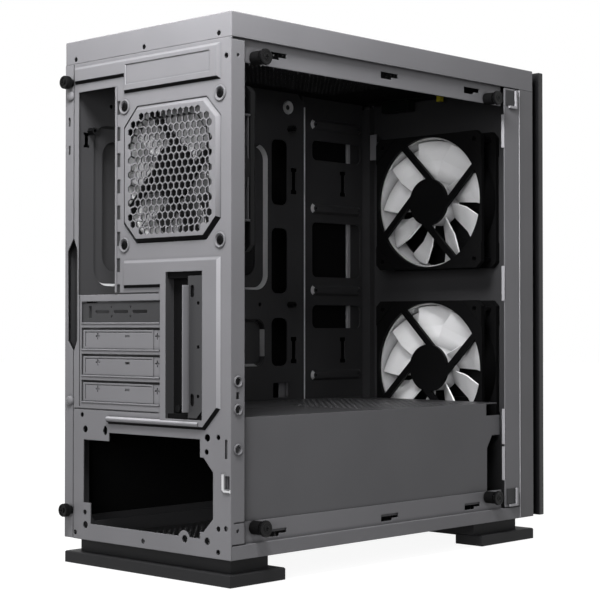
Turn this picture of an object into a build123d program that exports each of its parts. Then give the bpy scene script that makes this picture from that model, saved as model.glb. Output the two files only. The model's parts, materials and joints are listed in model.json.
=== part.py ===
from build123d import *
import math
import os

# Micro-ATX tower case with its glass side panel taken off, in millimetres.
# Working frame: +Z up from the floor, +Y to the rear, open side at -X.
# Every piece is moved by the same step at the end, so that the origin is
# under the middle of the whole object.

os.makedirs("parts", exist_ok=True)

# Sheet and clearances
sheet = 1.0
seat = 0.2
running_gap = 0.3
shaft_gap = 0.06
fit_gap = 0.05
over = 1.0  # how far a cutter runs past the face it cuts

# Heights, from the floor up
foot_slab_height = 9.7
foot_neck_height = 10.5
psu_zone = 100.3
slot_base = 5.3
slot_pitch = 20.32
slot_count = 4
io_gap = 3.2
io_height = 158.75
io_to_cover = 22.87
cover_height = 18.1
roof_rise = 4.1

# Widths, from the steel side panel to the open side
cable_room = 14.15
io_offset = 2.4
io_width = 44.45
fan_gap = 3.45
fan_size = 120.0
fan_margin = 3.85

# Depths
body_depth = 367.8
front_setback = 12.9
column_depth = 21.4
bezel_depth = 20.1
bezel_wall = 3.0
bezel_face = 2.7
intake_depth = 9.5
plate_thickness = 6.1

# Rear panel
seam_inset = 10.65
near_flange = 13.4
emboss_rise = 2.2
rear_fan_drop = 69.2
vent_side_margin = 7.0
vent_end_margin = 8.4
vent_corner = 15.0
vent_rim = 3.0
hex_pitch = 6.2
hex_web = 1.1
hex_border = 3.4
label_top_gap = 2.9
label_step = 6.5
label_end_gap = 1.5
label_margins = (9.5, 3.6)
label_recess = 15.0
joggle = 1.7
joggle_ends = (8.0, 2.0)
roof_seat = 9.0
strip_ends = 4.0
grip_start = 39.5
grip_length = 90.0
grip_reach = 7.4
grip_slope = 10.0
grip_web = 1.4

# Expansion slots and their clamp
slot_window = 91.9
slot_window_height = 16.4
slot_inset = 6.5
slot_cover_height = 18.4
slot_overlap = (6.0, 4.0)
slot_land_inset = 8.0
slot_vent = (17.0, 2.4, 22.0)
boss_above = 25.3
boss_step = 7.6
boss_below = 14.6
boss_lip = 6.0
boss_corner = 15.7
boss_far_inset = 32.5
trough_gap = 8.6
trough_depth = 6.0
trough_width = 23.0
trough_ends = (4.0, 14.0)
clamp_plate = 15.5
clamp_sheet = 1.2
clamp_ends = (7.6, 18.6)
clamp_gaps = (1.0, 3.2)
clamp_flange_rise = 7.0
clamp_flange_ends = (2.4, 8.6)
clamp_corner = 6.0
clamp_hole_radius = 1.3
clamp_hole_inset = 4.3
clamp_hole_ends = (16.0, 20.0)
clamp_oval = (9.0, 3.4)
clamp_oval_inset = 4.6
clamp_oval_ends = (13.2, 11.3)
clamp_screw_radius = 2.6
clamp_screw_height = 1.8
clamp_screw_place = (6.3, 0.5)

# Power supply opening
psu_hole_span = 138.0
psu_hole_rise = 74.0
psu_hole_drop = 64.0
psu_hole_shift = 114.0
psu_hole_radius = 2.0
psu_first_hole = 11.4
psu_mouth_ends = (1.5, 1.2)
psu_lug = 7.0
psu_lug_radius = 6.0
psu_side_reach = (6.7, 1.7)
psu_side_ends = (5.0, 13.0)
psu_slope = 10.0
psu_strip = (29.0, 6.5)
psu_left_start = 16.0

# Fans
fan_thickness = 25.0
fan_rim = 1.8
fan_hole_inset = 7.5
fan_hole_radius = 2.2
fan_corner = 5.0
fan_wall = 1.6
fan_flange = 4.0
light_ring_wall = 1.4
light_ring_start = 1.0
hub_radius = 20.5
hub_wall = 3.0
hub_start = 4.0
hub_top = 2.0
hub_round = 2.0
rotor_gap = 0.8
blade_count = 9
blade_thickness = 1.3
blade_level = 12.0
blade_root = 2.6
blade_tip_gap = 1.2
blade_chords = (17.0, 27.0, 36.0)
blade_pitches = (44.0, 34.0, 26.0)
blade_leans = (0.0, -5.0, -12.0)
strut_width = 5.6
strut_depth = 3.4
strut_offset = 15.8
motor_radius = 21.0
shaft_radius = 1.5
shaft_end_gap = 0.4
tube_end = 1.2
bearing_radius = 3.5
bearing_start = 9.0
core_wall = 3.0
core_span = (10.5, 18.0)
pole_reach = 13.0
pole_width = 6.0
shoe_wall = 2.4
shoe_width = 12.0
pad_thickness = 1.0
pad_leg = 22.0
fan_screw_head = (3.4, 2.2)
fan_screw_shank = (2.05, 12.0)
front_fan_x = -8.0
lower_fan_height = 128.6
front_fan_pitch = 148.6

# Motherboard tray, cable panel and the board holes that the standard gives
tray_length = 260.0
panel_setback = 6.0
board_first_column = 12.27
board_second_column = 154.94
board_third_column = 227.33
board_top_row = 6.4
board_offset_row = 22.86
board_middle_row = 157.48
board_bottom_row = 203.2
standoff_height = 6.35
standoff_radius = 3.0
standoff_bore = 1.5
press_rise = 2.0
rim_width = 12.0
rim_corner = 14.0
cpu_ends = (60.0, 28.0)
cpu_heights = (19.7, 35.0)
plateau_ends = (52.0, 23.0)
plateau_heights = (25.2, 66.2)
plateau_corner = 9.0
cable_slot_start = 23.2
cable_slot_width = 20.0
cable_slot_corner = 6.0
cable_slot_length = 58.0
cable_slot_drops = (17.0, 95.75)
low_cable_slot = (25.0, 67.5)
panel_hole_ends = (11.0, 16.0)
panel_hole_corner = 5.0
panel_hole_heights = ((12.5, 30.5), (87.75, 137.75), (163.63, 184.63))
rib_height = 9.5
rib_ends = (10.0, 14.0)
rib_drops = (-2.0, 75.0, 150.0, 227.5)
tray_window = (21.0, 20.0, 2.3, 13.0)
access_ends = (6.0, 12.0)
access_heights = (12.0, 7.0)
access_corner = 6.0

# Roof, floor, front frame, shroud and drive cage
rail_recess = 4.0
top_rail_height = 20.5
lip_height = 10.0
bottom_rail_height = 25.8
flange_heights = (6.0, 7.0)
column_clear = 8.0
column_widths = (14.5, 16.5)
fan_mouth_lip = 1.0
rail_slot_insets = (50.0, 178.0, 285.0)
rail_slot_size = (21.0, 3.5)
rail_slot_notch = (13.5, 1.9)
rail_slot_levels = (11.0, 16.0)
roof_vent = (52.0, 7.0)
roof_vent_count = 9
roof_vent_ends = (70.0, 100.0)
roof_vent_columns = (-36.0, 32.0)
io_cut_margin = 6.0
floor_vent = (96.0, 5.0)
floor_vent_count = 8
floor_vent_pitch = 12.0
floor_vent_inset = 85.0
shroud_gap = 1.2
shroud_mouth = 18.0
shroud_low = 6.0
shroud_mouth_drops = (10.5, 27.5, 38.0)
shroud_mouth_slope = 7.0
shroud_vent = (44.0, 6.0)
shroud_vent_columns = (-52.0, 2.0, 50.0)
shroud_vent_count = 6
shroud_vent_start = 26.0
shroud_vent_pitch = 22.0
cage_start = 24.0
cage_length = 104.0
cage_height = 78.0
cage_foot = 8.0
cage_ledge = 5.0
cage_middle = 40.0
cage_margins = (14.0, 6.0)
rest_size = (14.0, 10.0, 3.0)
rest_x = 60.0
rest_gaps = (38.9, 20.0)

# Posts and thumbscrews
post_rear_inset = 26.7
post_front_inset = 62.4
post_top_drop = 12.6
post_floor_rise = 21.0
post_length = 9.2
post_radius = 3.5
collar_radius = 5.0
thumb_head_radius = 6.0
thumb_head_height = 4.0
side_thumb_radius = 5.2
side_thumb_height = 9.0
thumb_edge = 0.6
screw_radius = 1.5
screw_reach = 8.0
side_screw_inset = 7.65
side_screw_drop = 14.6
side_screw_rise = 22.0

# Steel side panel
side_panel_travel = 20.0
tab_length = 12.0
tab_half = 0.8
tab_room = 0.4
tab_first = 50.0
tab_last = 76.1
tab_levels = (9.0, 5.0)
hem_widths = (4.0, 3.0, 9.0)
hem_rear_gap = 12.0

# Top cover, buttons and front sockets
cover_sheet = 1.2
cover_round = 0.8
filter_depth = 2.0
filter_width = 128.0
filter_length = 270.0
filter_inset = 28.0
filter_rim = 6.0
filter_bar = 3.0
filter_rows = 6
filter_corner = 3.0
pan_vent = 11.0
pan_vent_count = 16
pan_vent_margins = (8.0, 6.0)
io_row_inset = 23.9
power_inset = 32.15
reset_inset = 50.15
usb_insets = (70.15, 90.15)
jack_insets = (103.15, 112.15)
power_radius = 6.5
reset_radius = 2.4
button_travel = 1.2
button_flange = 1.2
button_sheet = 1.0
button_drop = 0.3
button_edge = 0.4
stem_radius = 1.7
socket_drop = 0.4
socket_gap = 0.25
usb_width = 13.1
usb_depth = 5.7
usb_wall = 0.6
usb_hollow = 11.0
usb_tongue = (10.7, 1.6, 1.1)
jack_radius = 3.0
jack_bore = 1.8
jack_hollow = 12.0
board_thickness = 1.6
board_margins = (10.0, 9.0)
header_size = (32.0, 9.0, 9.0)
header_inset = 54.15
switch_side = 6.0
switch_height = 4.0

# Front bezel, filter, intake frame and plate
intake_margin = 45.0
intake_corner = 8.0
bezel_edge = 0.5
peg_radius = 4.0
peg_inset = 22.0
peg_drop = 30.0
front_filter_lap = 6.0
front_filter_thickness = 1.8
front_filter_rows = 5
spacer_inset = 8.0
spacer_ends = 5.0
spacer_wall = 5.0
spacer_slots = 12
spacer_margin = 20.0
spacer_web = 8.0
spacer_rim = 2.5
plate_edge = 0.6

# Feet
foot_inset = 0.6
neck_inset = 9.0
rear_foot_depth = 55.8
front_foot_depth = 74.0
front_foot_block = 28.0
front_foot_bar = 29.0
foot_edge = 0.8
pad_height = 2.0
pad_drop = 0.8
foot_pad_length = 26.0
foot_pad_width = 12.0
foot_pad_inset = 24.0
front_pad_inset = 22.0

# Levels and planes worked out from the sizes above
floor_z = foot_slab_height + foot_neck_height
shroud_z = floor_z + psu_zone
slot_z = shroud_z + slot_base
slot_top_z = slot_z + slot_count * slot_pitch
io_z = slot_top_z + io_gap
io_top_z = io_z + io_height
cover_z = io_top_z + io_to_cover
body_height = cover_z + cover_height
roof_z = cover_z + roof_rise
body_width = cable_room + io_offset + io_width + fan_gap + fan_size + fan_margin
near = -body_width / 2
far = body_width / 2
rear = body_depth / 2
rear_in = rear - sheet
front = -body_depth / 2
front_out = front + front_setback
front_in = front_out + sheet
column_front = front + bezel_depth + seat
column_back = column_front + column_depth
plate_back = front - intake_depth
plate_front = plate_back - plate_thickness
tray_x = far - cable_room
panel_x = tray_x + panel_setback
tray_end = rear_in - tray_length
far_flange = far - 3.5 * sheet
rail_x = near + rail_recess
seam_x = far - seam_inset
io_far = tray_x - io_offset
io_near = io_far - io_width
fan_x = io_near - fan_gap - fan_size / 2
fan_z = io_top_z - rear_fan_drop
fan_bore = fan_size / 2 - fan_rim
fan_hole_span = fan_size - 2 * fan_hole_inset
lower_fan_z = floor_z + lower_fan_height
upper_fan_z = lower_fan_z + front_fan_pitch
vent_width = fan_size - 2 * vent_side_margin
vent_height = fan_size - 2 * vent_end_margin
vent_x = (fan_x - vent_width / 2, fan_x + vent_width / 2)
slot_far = tray_x - slot_inset
slot_near = slot_far - slot_window
trough_far = slot_near - trough_gap
trough_near = trough_far - trough_width
clamp_near = trough_near - clamp_plate
clamp_z = (slot_z - clamp_ends[0], slot_top_z + clamp_ends[1])
psu_low_z = floor_z + psu_first_hole
psu_high_z = psu_low_z + psu_hole_rise
screw_x = far - side_screw_inset
post_end = rail_x - post_length
thumb_end = post_end - seat - thumb_head_height
side_thumb_end = rear + seat + side_thumb_height
bottom_tab_z = floor_z + tab_levels[0]
top_tab_z = cover_z - tab_levels[1]
shroud_front = column_back + shroud_gap
cage_y = (shroud_front + cage_start, shroud_front + cage_start + cage_length)
io_row_y = front + io_row_inset
io_board_z = roof_z - sheet
power_x = far - power_inset
reset_x = far - reset_inset
usb_places = [far - inset for inset in usb_insets]
jack_places = [far - inset for inset in jack_insets]
filter_y = (rear - filter_inset - filter_length, rear - filter_inset)
pan_z = body_height - filter_depth


# Plain helpers

def block(x, y, z):
    """Box between three pairs of coordinates."""
    centre = Pos(sum(x) / 2, sum(y) / 2, sum(z) / 2)
    return centre * Box(x[1] - x[0], y[1] - y[0], z[1] - z[0])


def rect(u, v):
    return Pos(sum(u) / 2, sum(v) / 2) * Rectangle(u[1] - u[0], v[1] - v[0])


def rounded(u, v, radius):
    return Pos(sum(u) / 2, sum(v) / 2) * RectangleRounded(u[1] - u[0], v[1] - v[0], radius)


def outline(*points):
    return Polygon(*points, align=None)


def chamfered(u, v, cut):
    """Rectangle whose four corners are cut off at 45 degrees."""
    (u0, u1), (v0, v1) = u, v
    return outline((u0 + cut, v0), (u1 - cut, v0), (u1, v0 + cut), (u1, v1 - cut),
                   (u1 - cut, v1), (u0 + cut, v1), (u0, v1 - cut), (u0, v0 + cut))


def grown(span, margin):
    return (span[0] - margin, span[1] + margin)


def dots(points, radius):
    return [Pos(u, v) * Circle(radius) for u, v in points]


def plate_x(sketch, x0, x1):
    """Plate drawn in Y and Z, between two X planes."""
    return extrude(Plane.YZ.offset(x0) * sketch, amount=x1 - x0, dir=(1, 0, 0))


def plate_y(sketch, y0, y1):
    """Plate drawn in X and Z, between two Y planes."""
    return extrude(Plane.XZ.offset(-y1) * sketch, amount=y1 - y0, dir=(0, -1, 0))


def plate_z(sketch, z0, z1):
    """Plate drawn in X and Y, between two Z planes."""
    return extrude(Plane.XY.offset(z0) * sketch, amount=z1 - z0, dir=(0, 0, 1))


def rod_y(x, z, radius, y0, y1):
    return plate_y(Pos(x, z) * Circle(radius), y0, y1)


def rod_z(x, y, radius, z0, z1):
    return plate_z(Pos(x, y) * Circle(radius), z0, z1)


def bent(points, thickness):
    """Outline of a sheet folded along the given corner points, with mitred folds."""
    corners = [Vector(*p) for p in points]
    runs = [(b - a).normalized() for a, b in zip(corners, corners[1:])]
    sides = [Vector(-run.Y, run.X) for run in runs]
    before = [sides[0]] + sides
    after = sides + [sides[-1]]
    mitres = [(a + b) * (thickness / 2 / (1 + a.dot(b))) for a, b in zip(before, after)]
    left = [c + m for c, m in zip(corners, mitres)]
    right = [c - m for c, m in zip(corners, mitres)]
    return outline(*[(p.X, p.Y) for p in left + right[::-1]])


def raised(sketch, plane, level, rise):
    """Boss with sloping sides, from one level above a plane to another."""
    top = offset(sketch, -abs(rise), kind=Kind.INTERSECTION)
    return loft([plane.offset(level) * sketch, plane.offset(level + rise) * top], ruled=True)


def square_of(x, z, span):
    half = span / 2
    return [(x + i * half, z + j * half) for i in (-1, 1) for j in (-1, 1)]


def bars_grid(u, v, rim, bar, rows):
    """Windows in two columns and several rows, with a rim round them and bars between them."""
    middle = sum(u) / 2
    step = (v[1] - v[0] - 2 * rim + bar) / rows
    columns = ((u[0] + rim, middle - bar / 2), (middle + bar / 2, u[1] - rim))
    starts = [v[0] + rim + i * step for i in range(rows)]
    return [rect(column, (start, start + step - bar)) for start in starts for column in columns]


def group(solids):
    return Compound(list(solids))


# Rear panel: one sheet with embossed stiffeners and the standard openings

psu_reach = psu_hole_span / 2
psu_holes = [(side * psu_reach, z) for side in (-1, 1) for z in (psu_low_z, psu_high_z)]
psu_holes += [(psu_reach, psu_high_z - psu_hole_drop), (psu_reach - psu_hole_shift, psu_low_z)]
psu_holes += [(-psu_reach, psu_low_z + psu_hole_drop), (psu_hole_shift - psu_reach, psu_high_z)]
side_screw_heights = (floor_z + side_screw_rise, cover_z - side_screw_drop)


def psu_opening():
    """Opening for the power supply, with lugs left round its screw holes."""
    low = psu_low_z + psu_mouth_ends[0]
    high = psu_high_z - psu_mouth_ends[1]
    inner = psu_reach - psu_lug
    tall = rect((-inner, inner), (low, high))
    wide = chamfered((-psu_reach - psu_side_reach[0], inner),
                     (low + psu_side_ends[0], high - psu_side_ends[1]), psu_slope)
    strip_z = high - psu_strip[1]
    left = rect((0, psu_reach + psu_side_reach[1]), (low + psu_left_start, strip_z))
    strip = rect((psu_reach - psu_strip[0], psu_reach), (strip_z, high + over))
    lug = Pos(psu_reach - psu_hole_shift, psu_low_z) * Circle(psu_lug_radius)
    return tall + wide + left - strip - lug


def label_boss():
    """Stepped field along the top, for a label."""
    far_end = seam_x - label_end_gap
    top = cover_z - label_top_gap
    return outline((far_end, top), (vent_x[0], top), (vent_x[0], io_top_z - label_step),
                   (vent_x[1], io_top_z - label_step), (vent_x[1], io_top_z + label_step),
                   (far_end, io_top_z + label_step))


def slot_boss():
    """Field round the slots' screw ends, which carries the clamp."""
    top = io_z + boss_above
    low = slot_z - boss_below
    step = slot_far - boss_far_inset
    edge = slot_near - seat
    return outline((vent_x[1], top), (vent_x[0], top), (vent_x[0], low + boss_corner),
                   (vent_x[0] + boss_corner, low), (step, low), (step, slot_z - boss_lip),
                   (edge, slot_z - boss_lip), (edge, slot_top_z + boss_step),
                   (vent_x[1], slot_top_z + boss_step))


def finger_grip():
    """Long six-sided cut-out across the seam, for pulling the side panel back."""
    low = slot_z + grip_start
    high = low + grip_length
    reach = seam_x + grip_reach
    inner = io_far + grip_web
    return outline((seam_x, low), (reach, low + grip_slope), (reach, high - grip_slope),
                   (seam_x, high), (inner, high - grip_slope), (inner, low + grip_slope))


def rear_holes():
    vent_z = (fan_z - vent_height / 2, fan_z + vent_height / 2)
    holes = rect((io_near, io_far), (io_z, io_top_z))
    holes += chamfered(grown(vent_x, seat), grown(vent_z, seat), vent_corner)
    for i in range(slot_count):
        low = slot_z + i * slot_pitch + (slot_pitch - slot_window_height) / 2
        holes += rect((slot_near, slot_far), (low, low + slot_window_height))
    holes += psu_opening()
    holes += dots(psu_holes, psu_hole_radius)
    holes += dots(square_of(fan_x, fan_z, fan_hole_span), fan_hole_radius)
    return holes


def rear_panel():
    body = plate_y(rect((near, seam_x - seat), (floor_z, cover_z - seat)), rear_in, rear)
    outside = rear + 2 * emboss_rise
    label = raised(label_boss(), Plane.XZ, -rear, -emboss_rise)
    body = body + label - Pos(0, -sheet, 0) * label
    # The slots' field leaves a flat floor under the clamp
    slots = raised(slot_boss(), Plane.XZ, -rear, -emboss_rise)
    window = (clamp_near - seat - sheet / 2, trough_far)
    kept = block(grown(window, sheet), (rear_in - sheet, outside), grown(clamp_z, sheet))
    hollow = Pos(0, -sheet, 0) * slots - kept
    body = body + (slots - block(window, (rear, outside), clamp_z)) - hollow
    # Trough behind the screw tabs of the slot covers
    trough_x = (trough_near, trough_far)
    trough_z = (slot_z - trough_ends[0], slot_top_z + trough_ends[1])
    floor = rear - trough_depth
    body += block(grown(trough_x, sheet), (floor - sheet, rear), grown(trough_z, sheet))
    body -= block(trough_x, (floor, outside), trough_z)
    body -= plate_y(rear_holes(), rear_in - sheet, outside)
    recess = rect((vent_x[0] + label_margins[0], vent_x[1] - label_margins[1]),
                  (io_top_z, io_top_z + label_recess))
    body -= plate_y(recess, rear + emboss_rise - sheet / 2, outside)
    # Flange along the open side
    flange_z = (floor_z + lip_height + over, cover_z - 2 * sheet)
    body += block((near, near + sheet), (rear - near_flange, rear_in), flange_z)
    # Joggle under the cover, with a ledge that the roof lies on
    step = rear_in - joggle
    across = (near + joggle_ends[0], tray_x - joggle_ends[1])
    top = cover_z - seat
    body += block(across, (step, rear_in), (top - sheet, top))
    body += block(across, (step, step + sheet), (top - sheet, roof_z - sheet))
    body += block(across, (step - roof_seat, step + sheet), (roof_z - 2 * sheet, roof_z - sheet))
    # Sunk strip that takes the side panel's screws
    strip_z = (floor_z + strip_ends, cover_z - strip_ends)
    edge = seam_x - seat - sheet
    body += block((edge, edge + sheet), (step, rear_in), strip_z)
    strip = block((edge, far - 2.5 * sheet), (step, step + sheet), strip_z)
    for z in side_screw_heights:
        strip -= rod_y(screw_x, z, screw_radius + shaft_gap, step - over, rear)
    return body + strip - plate_y(finger_grip(), step - over, rear + over)


def hex_centres(width, height):
    """Centres of a honeycomb that fits inside a chamfered rectangle."""
    row_pitch = hex_pitch * math.sqrt(3) / 2
    u_limit = width / 2 - hex_border
    v_limit = height / 2 - hex_border
    slant_limit = (width + height) / 2 - vent_corner - hex_border * math.sqrt(2)
    rows = int(v_limit / row_pitch)
    columns = int(u_limit / hex_pitch) + 1
    grid = [((i + 0.5 * (j % 2)) * hex_pitch, j * row_pitch)
            for j in range(-rows, rows + 1) for i in range(-columns, columns + 1)]
    return [(u, v) for u, v in grid if abs(u) <= u_limit and abs(u) + abs(v) <= slant_limit]


def rear_vent_grille():
    """Raised honeycomb pressing, welded behind the vent window."""
    z = (fan_z - vent_height / 2, fan_z + vent_height / 2)
    face = chamfered(vent_x, z, vent_corner)
    rim = chamfered(grown(vent_x, vent_rim), grown(z, vent_rim), vent_corner + 0.6 * vent_rim)
    rise = sheet + emboss_rise
    boss = raised(face, Plane.XZ, -rear_in, -rise)
    pressing = plate_y(rim, rear_in - sheet, rear_in) + boss - Pos(0, -sheet, 0) * boss
    cell = RegularPolygon((hex_pitch - hex_web) / math.sqrt(3), 6, rotation=30)
    centres = hex_centres(vent_width - 2 * rise, vent_height - 2 * rise)
    cells = [Pos(fan_x + u, fan_z + v) * cell for u, v in centres]
    return pressing - plate_y(Sketch() + cells, rear, rear_in + 2 * rise)


# Expansion slot covers and their clamp

def slot_cover(index):
    middle = slot_z + (slot_count - 0.5 - index) * slot_pitch
    half = slot_cover_height / 2
    span = (slot_near - slot_overlap[0], slot_far + slot_overlap[1])
    cover = plate_y(rect(span, (middle - half, middle + half)), rear_in - sheet, rear_in)
    if index == 0:
        # The first cover is vented and can be used again
        length, width, pitch = slot_vent
        start = slot_near + slot_window / 2 - pitch
        vents = [Pos(start + pitch * i, middle) * SlotOverall(length, width) for i in range(3)]
        return cover - plate_y(Sketch() + vents, rear_in - 2 * sheet, rear)
    half = slot_window_height / 2 - running_gap
    land = rect((slot_near + slot_land_inset, slot_far - running_gap), (middle - half, middle + half))
    return cover + plate_y(land, rear_in, rear - 0.4 * sheet)


def slot_clamp():
    """Plate and grip flange that hold the card brackets down."""
    face = rear + clamp_sheet
    low = clamp_z[0] + clamp_gaps[0]
    high = clamp_z[1] - clamp_gaps[1]
    edge = trough_near - running_gap
    plate = plate_y(outline((edge, low), (edge, high), (clamp_near, high), (clamp_near, low + clamp_corner),
                            (clamp_near + clamp_corner, low)), rear, face)
    flange_z = (slot_z - clamp_flange_ends[0], slot_top_z + clamp_flange_ends[1])
    flange = block((edge - clamp_sheet, edge), (face, rear + clamp_flange_rise), flange_z)
    heights = (low + clamp_hole_ends[0], (low + high) / 2, high - clamp_hole_ends[1])
    holes = dots([(clamp_near + clamp_hole_inset, z) for z in heights], clamp_hole_radius)
    oval = SlotOverall(*clamp_oval, rotation=90)
    for z in (low + clamp_oval_ends[0], high - clamp_oval_ends[1]):
        holes += [Pos(edge - clamp_oval_inset, z) * oval]
    return plate + flange - plate_y(Sketch() + holes, rear - over, face + over)


def slot_clamp_screw():
    floor = rear - trough_depth
    place = (trough_far - clamp_screw_place[0], slot_z - clamp_screw_place[1])
    return rod_y(*place, clamp_screw_radius, floor, floor + clamp_screw_height)


# Motherboard tray and cable panel

board_columns = [rear_in - board_first_column]
board_columns += [board_columns[0] - board_second_column, board_columns[0] - board_third_column]
board_row_z = io_top_z - board_top_row
board_rows = [board_row_z, board_row_z - board_middle_row, board_row_z - board_bottom_row]
standoff_places = [(y, z) for y in board_columns[:2] for z in board_rows[1:]]
standoff_places += [(board_columns[2], board_rows[1])]
standoff_places += [(y, board_rows[0]) for y in board_columns[1:]]
standoff_places += [(board_columns[0], board_rows[0] - board_offset_row)]
cable_slot_y = (tray_end + cable_slot_start, tray_end + cable_slot_start + cable_slot_width)
cable_slots = [(io_top_z - drop - cable_slot_length, io_top_z - drop) for drop in cable_slot_drops]
cable_slots += [(slot_z + low_cable_slot[0], slot_z + low_cable_slot[1])]
cpu_y = (tray_end + cpu_ends[0], rear_in - cpu_ends[1])
cpu_z = (io_z + cpu_heights[0], io_top_z - cpu_heights[1])
plateau_y = (tray_end + plateau_ends[0], rear_in - plateau_ends[1])
plateau_z = (slot_z + plateau_heights[0], slot_z + plateau_heights[1])
access = chamfered((column_back + access_ends[0], rear_in - access_ends[1]),
                   (floor_z + access_heights[0], shroud_z - access_heights[1]), access_corner)


def motherboard_tray():
    """Tray with a pressed rim round the processor cut-out, a raised field and a folded front edge."""
    x = tray_x + sheet / 2
    path = [(x, rear_in), (x, tray_end + sheet / 2), (panel_x, tray_end + sheet / 2)]
    body = plate_z(bent(path, sheet), floor_z + sheet, roof_z - sheet)
    # Corner cleared for the cover's skirt
    body -= block((tray_x - over, tray_x + 2 * sheet), (rear_in - 2 * sheet, rear), (cover_z - sheet, roof_z))
    for field in (rounded(grown(cpu_y, rim_width), grown(cpu_z, rim_width), rim_corner),
                  rounded(plateau_y, plateau_z, plateau_corner)):
        boss = raised(field, Plane.YZ, tray_x, -press_rise)
        body = body + boss - Pos(sheet, 0, 0) * boss
    holes = rounded(cpu_y, cpu_z, rim_corner - press_rise)
    holes += [rounded(cable_slot_y, z, cable_slot_corner) for z in cable_slots]
    y0, width, z0, height = tray_window
    holes += rect((tray_end + y0, tray_end + y0 + width), (shroud_z + z0, shroud_z + z0 + height))
    holes += dots(standoff_places, standoff_bore)
    # Side access to the power supply and the drives, behind the steel panel
    holes += access
    return body - plate_x(holes, tray_x - press_rise - over, panel_x + 2 * sheet)


def cable_panel():
    """Sunk panel between the tray and the front column, stiffened by pressed ribs."""
    column_web = column_front + sheet
    y = (column_web, tray_end + sheet)
    body = plate_x(rect(y, (floor_z + sheet, roof_z - sheet)), panel_x, panel_x + sheet)
    rib_y = (front_in + rib_ends[0], tray_end - rib_ends[1])
    for drop in rib_drops:
        middle = io_top_z - drop
        rib = rounded(rib_y, (middle - rib_height / 2, middle + rib_height / 2), 0.49 * rib_height)
        boss = raised(rib, Plane.YZ, panel_x, -press_rise)
        body = body + boss - Pos(sheet, 0, 0) * boss
    hole_y = (front_in + panel_hole_ends[0], tray_end - panel_hole_ends[1])
    holes = [rounded(hole_y, (io_top_z - low, io_top_z - high), panel_hole_corner)
             for high, low in panel_hole_heights]
    return body - plate_x(access + holes, panel_x - over, panel_x + sheet + over)


def motherboard_standoffs():
    """Hexagonal spacers; those on the raised field are shorter, so that all tops are level."""
    hexagon = RegularPolygon(standoff_radius, 6) - Circle(standoff_bore)
    solids = []
    for y, z in standoff_places:
        on_field = plateau_y[0] < y < plateau_y[1] and plateau_z[0] < z < plateau_z[1]
        foot = tray_x - press_rise if on_field else tray_x
        solids.append(plate_x(Pos(y, z) * hexagon, tray_x - standoff_height, foot))
    return group(solids)


# Roof, floor, front frame, shroud and drive cage

def tab_places():
    """Middles of the side panel's guide tabs along Y."""
    first = front_in + tab_first
    last = rear - tab_last
    return (first, (first + last) / 2, last)


def tab_slots(z):
    """Slots that the side panel's tabs run in, as cutters through the far flanges."""
    half = tab_half + tab_room
    x = (far_flange - 2 * sheet, far_flange + sheet)
    runs = [(y - tab_length / 2 - over, y + tab_length / 2 + side_panel_travel + over) for y in tab_places()]
    return [block(x, run, (z - half, z + half)) for run in runs]


def rail_slots(z):
    """Stepped slots that a glass panel's clips drop into, in the open side's rails."""
    x = (rail_x - over, rail_x + sheet + over)
    length, height = rail_slot_size
    notch_length, notch_height = rail_slot_notch
    cutters = []
    for inset in rail_slot_insets:
        end = rear - inset + length / 2
        cutters.append(block(x, (end - length, end), (z - height / 2, z + height / 2)))
        cutters.append(block(x, (end - notch_length, end), (z - height / 2 - notch_height, z)))
    return cutters


def top_panel():
    low = roof_z - top_rail_height
    middle = roof_z - sheet / 2
    back = rear_in - 2 * sheet
    path = [(far_flange, top_tab_z - flange_heights[0]), (far_flange, middle), (rail_x + sheet / 2, middle)]
    body = plate_y(bent(path, sheet), front_in, back)
    body += block((rail_x, rail_x + sheet), (column_back + seat, back), (low, roof_z))
    io_x = (jack_places[-1] - io_cut_margin, power_x + io_cut_margin)
    half = power_radius + sheet / 2
    holes = [rect(io_x, (io_row_y - half, io_row_y + half))]
    first = rear - roof_vent_ends[0]
    step = (body_depth - sum(roof_vent_ends)) / (roof_vent_count - 1)
    holes += [Pos(x, first - i * step) * SlotOverall(*roof_vent)
              for i in range(roof_vent_count) for x in roof_vent_columns]
    body -= plate_z(Sketch() + holes, roof_z - 2 * sheet, roof_z + over)
    # The far flange stops behind the front column
    stop = column_back - column_clear + seat
    body -= block((far_flange - sheet, far), (front_in - over, stop), (low, cover_z - sheet + seat))
    return body - tab_slots(top_tab_z) - rail_slots(roof_z - rail_slot_levels[0])


def bottom_panel():
    middle = floor_z + sheet / 2
    path = [(far_flange, bottom_tab_z + flange_heights[1]), (far_flange, middle), (near + sheet, middle)]
    body = plate_y(bent(path, sheet), front_in, rear_in)
    outer = near + sheet / 2
    inner = rail_x + sheet / 2
    ledge = floor_z + lip_height - sheet / 2
    rail = [(outer, floor_z), (outer, ledge), (inner, ledge), (inner, floor_z + bottom_rail_height)]
    body += plate_y(bent(rail, sheet), column_back + seat, rear_in)
    body += block((near, near + sheet), (column_front, column_back + sheet), (floor_z, floor_z + lip_height))
    first = -floor_vent_pitch * (floor_vent_count - 1) / 2
    vent = SlotOverall(*floor_vent, rotation=90)
    vents = [Pos(first + floor_vent_pitch * i, rear - floor_vent_inset) * vent
             for i in range(floor_vent_count)]
    body -= plate_z(Sketch() + vents, floor_z - over, floor_z + sheet + over)
    # The far flange stops behind the front column and before the rear panel's strip
    flange_x = (far_flange - sheet, far)
    stop = column_back - column_clear + seat
    body -= block(flange_x, (front_in - over, stop), (floor_z + lip_height + over - seat, shroud_z))
    body -= block(flange_x, (rear_in - 3 * sheet, rear), (floor_z + sheet, shroud_z))
    # Corner cleared for the bezel's side wall
    body -= block((near, near + bezel_wall + seat), (front_in - over, column_front),
                  (floor_z - over, floor_z + 2 * sheet))
    return body - tab_slots(bottom_tab_z) - rail_slots(floor_z + rail_slot_levels[1])


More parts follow.
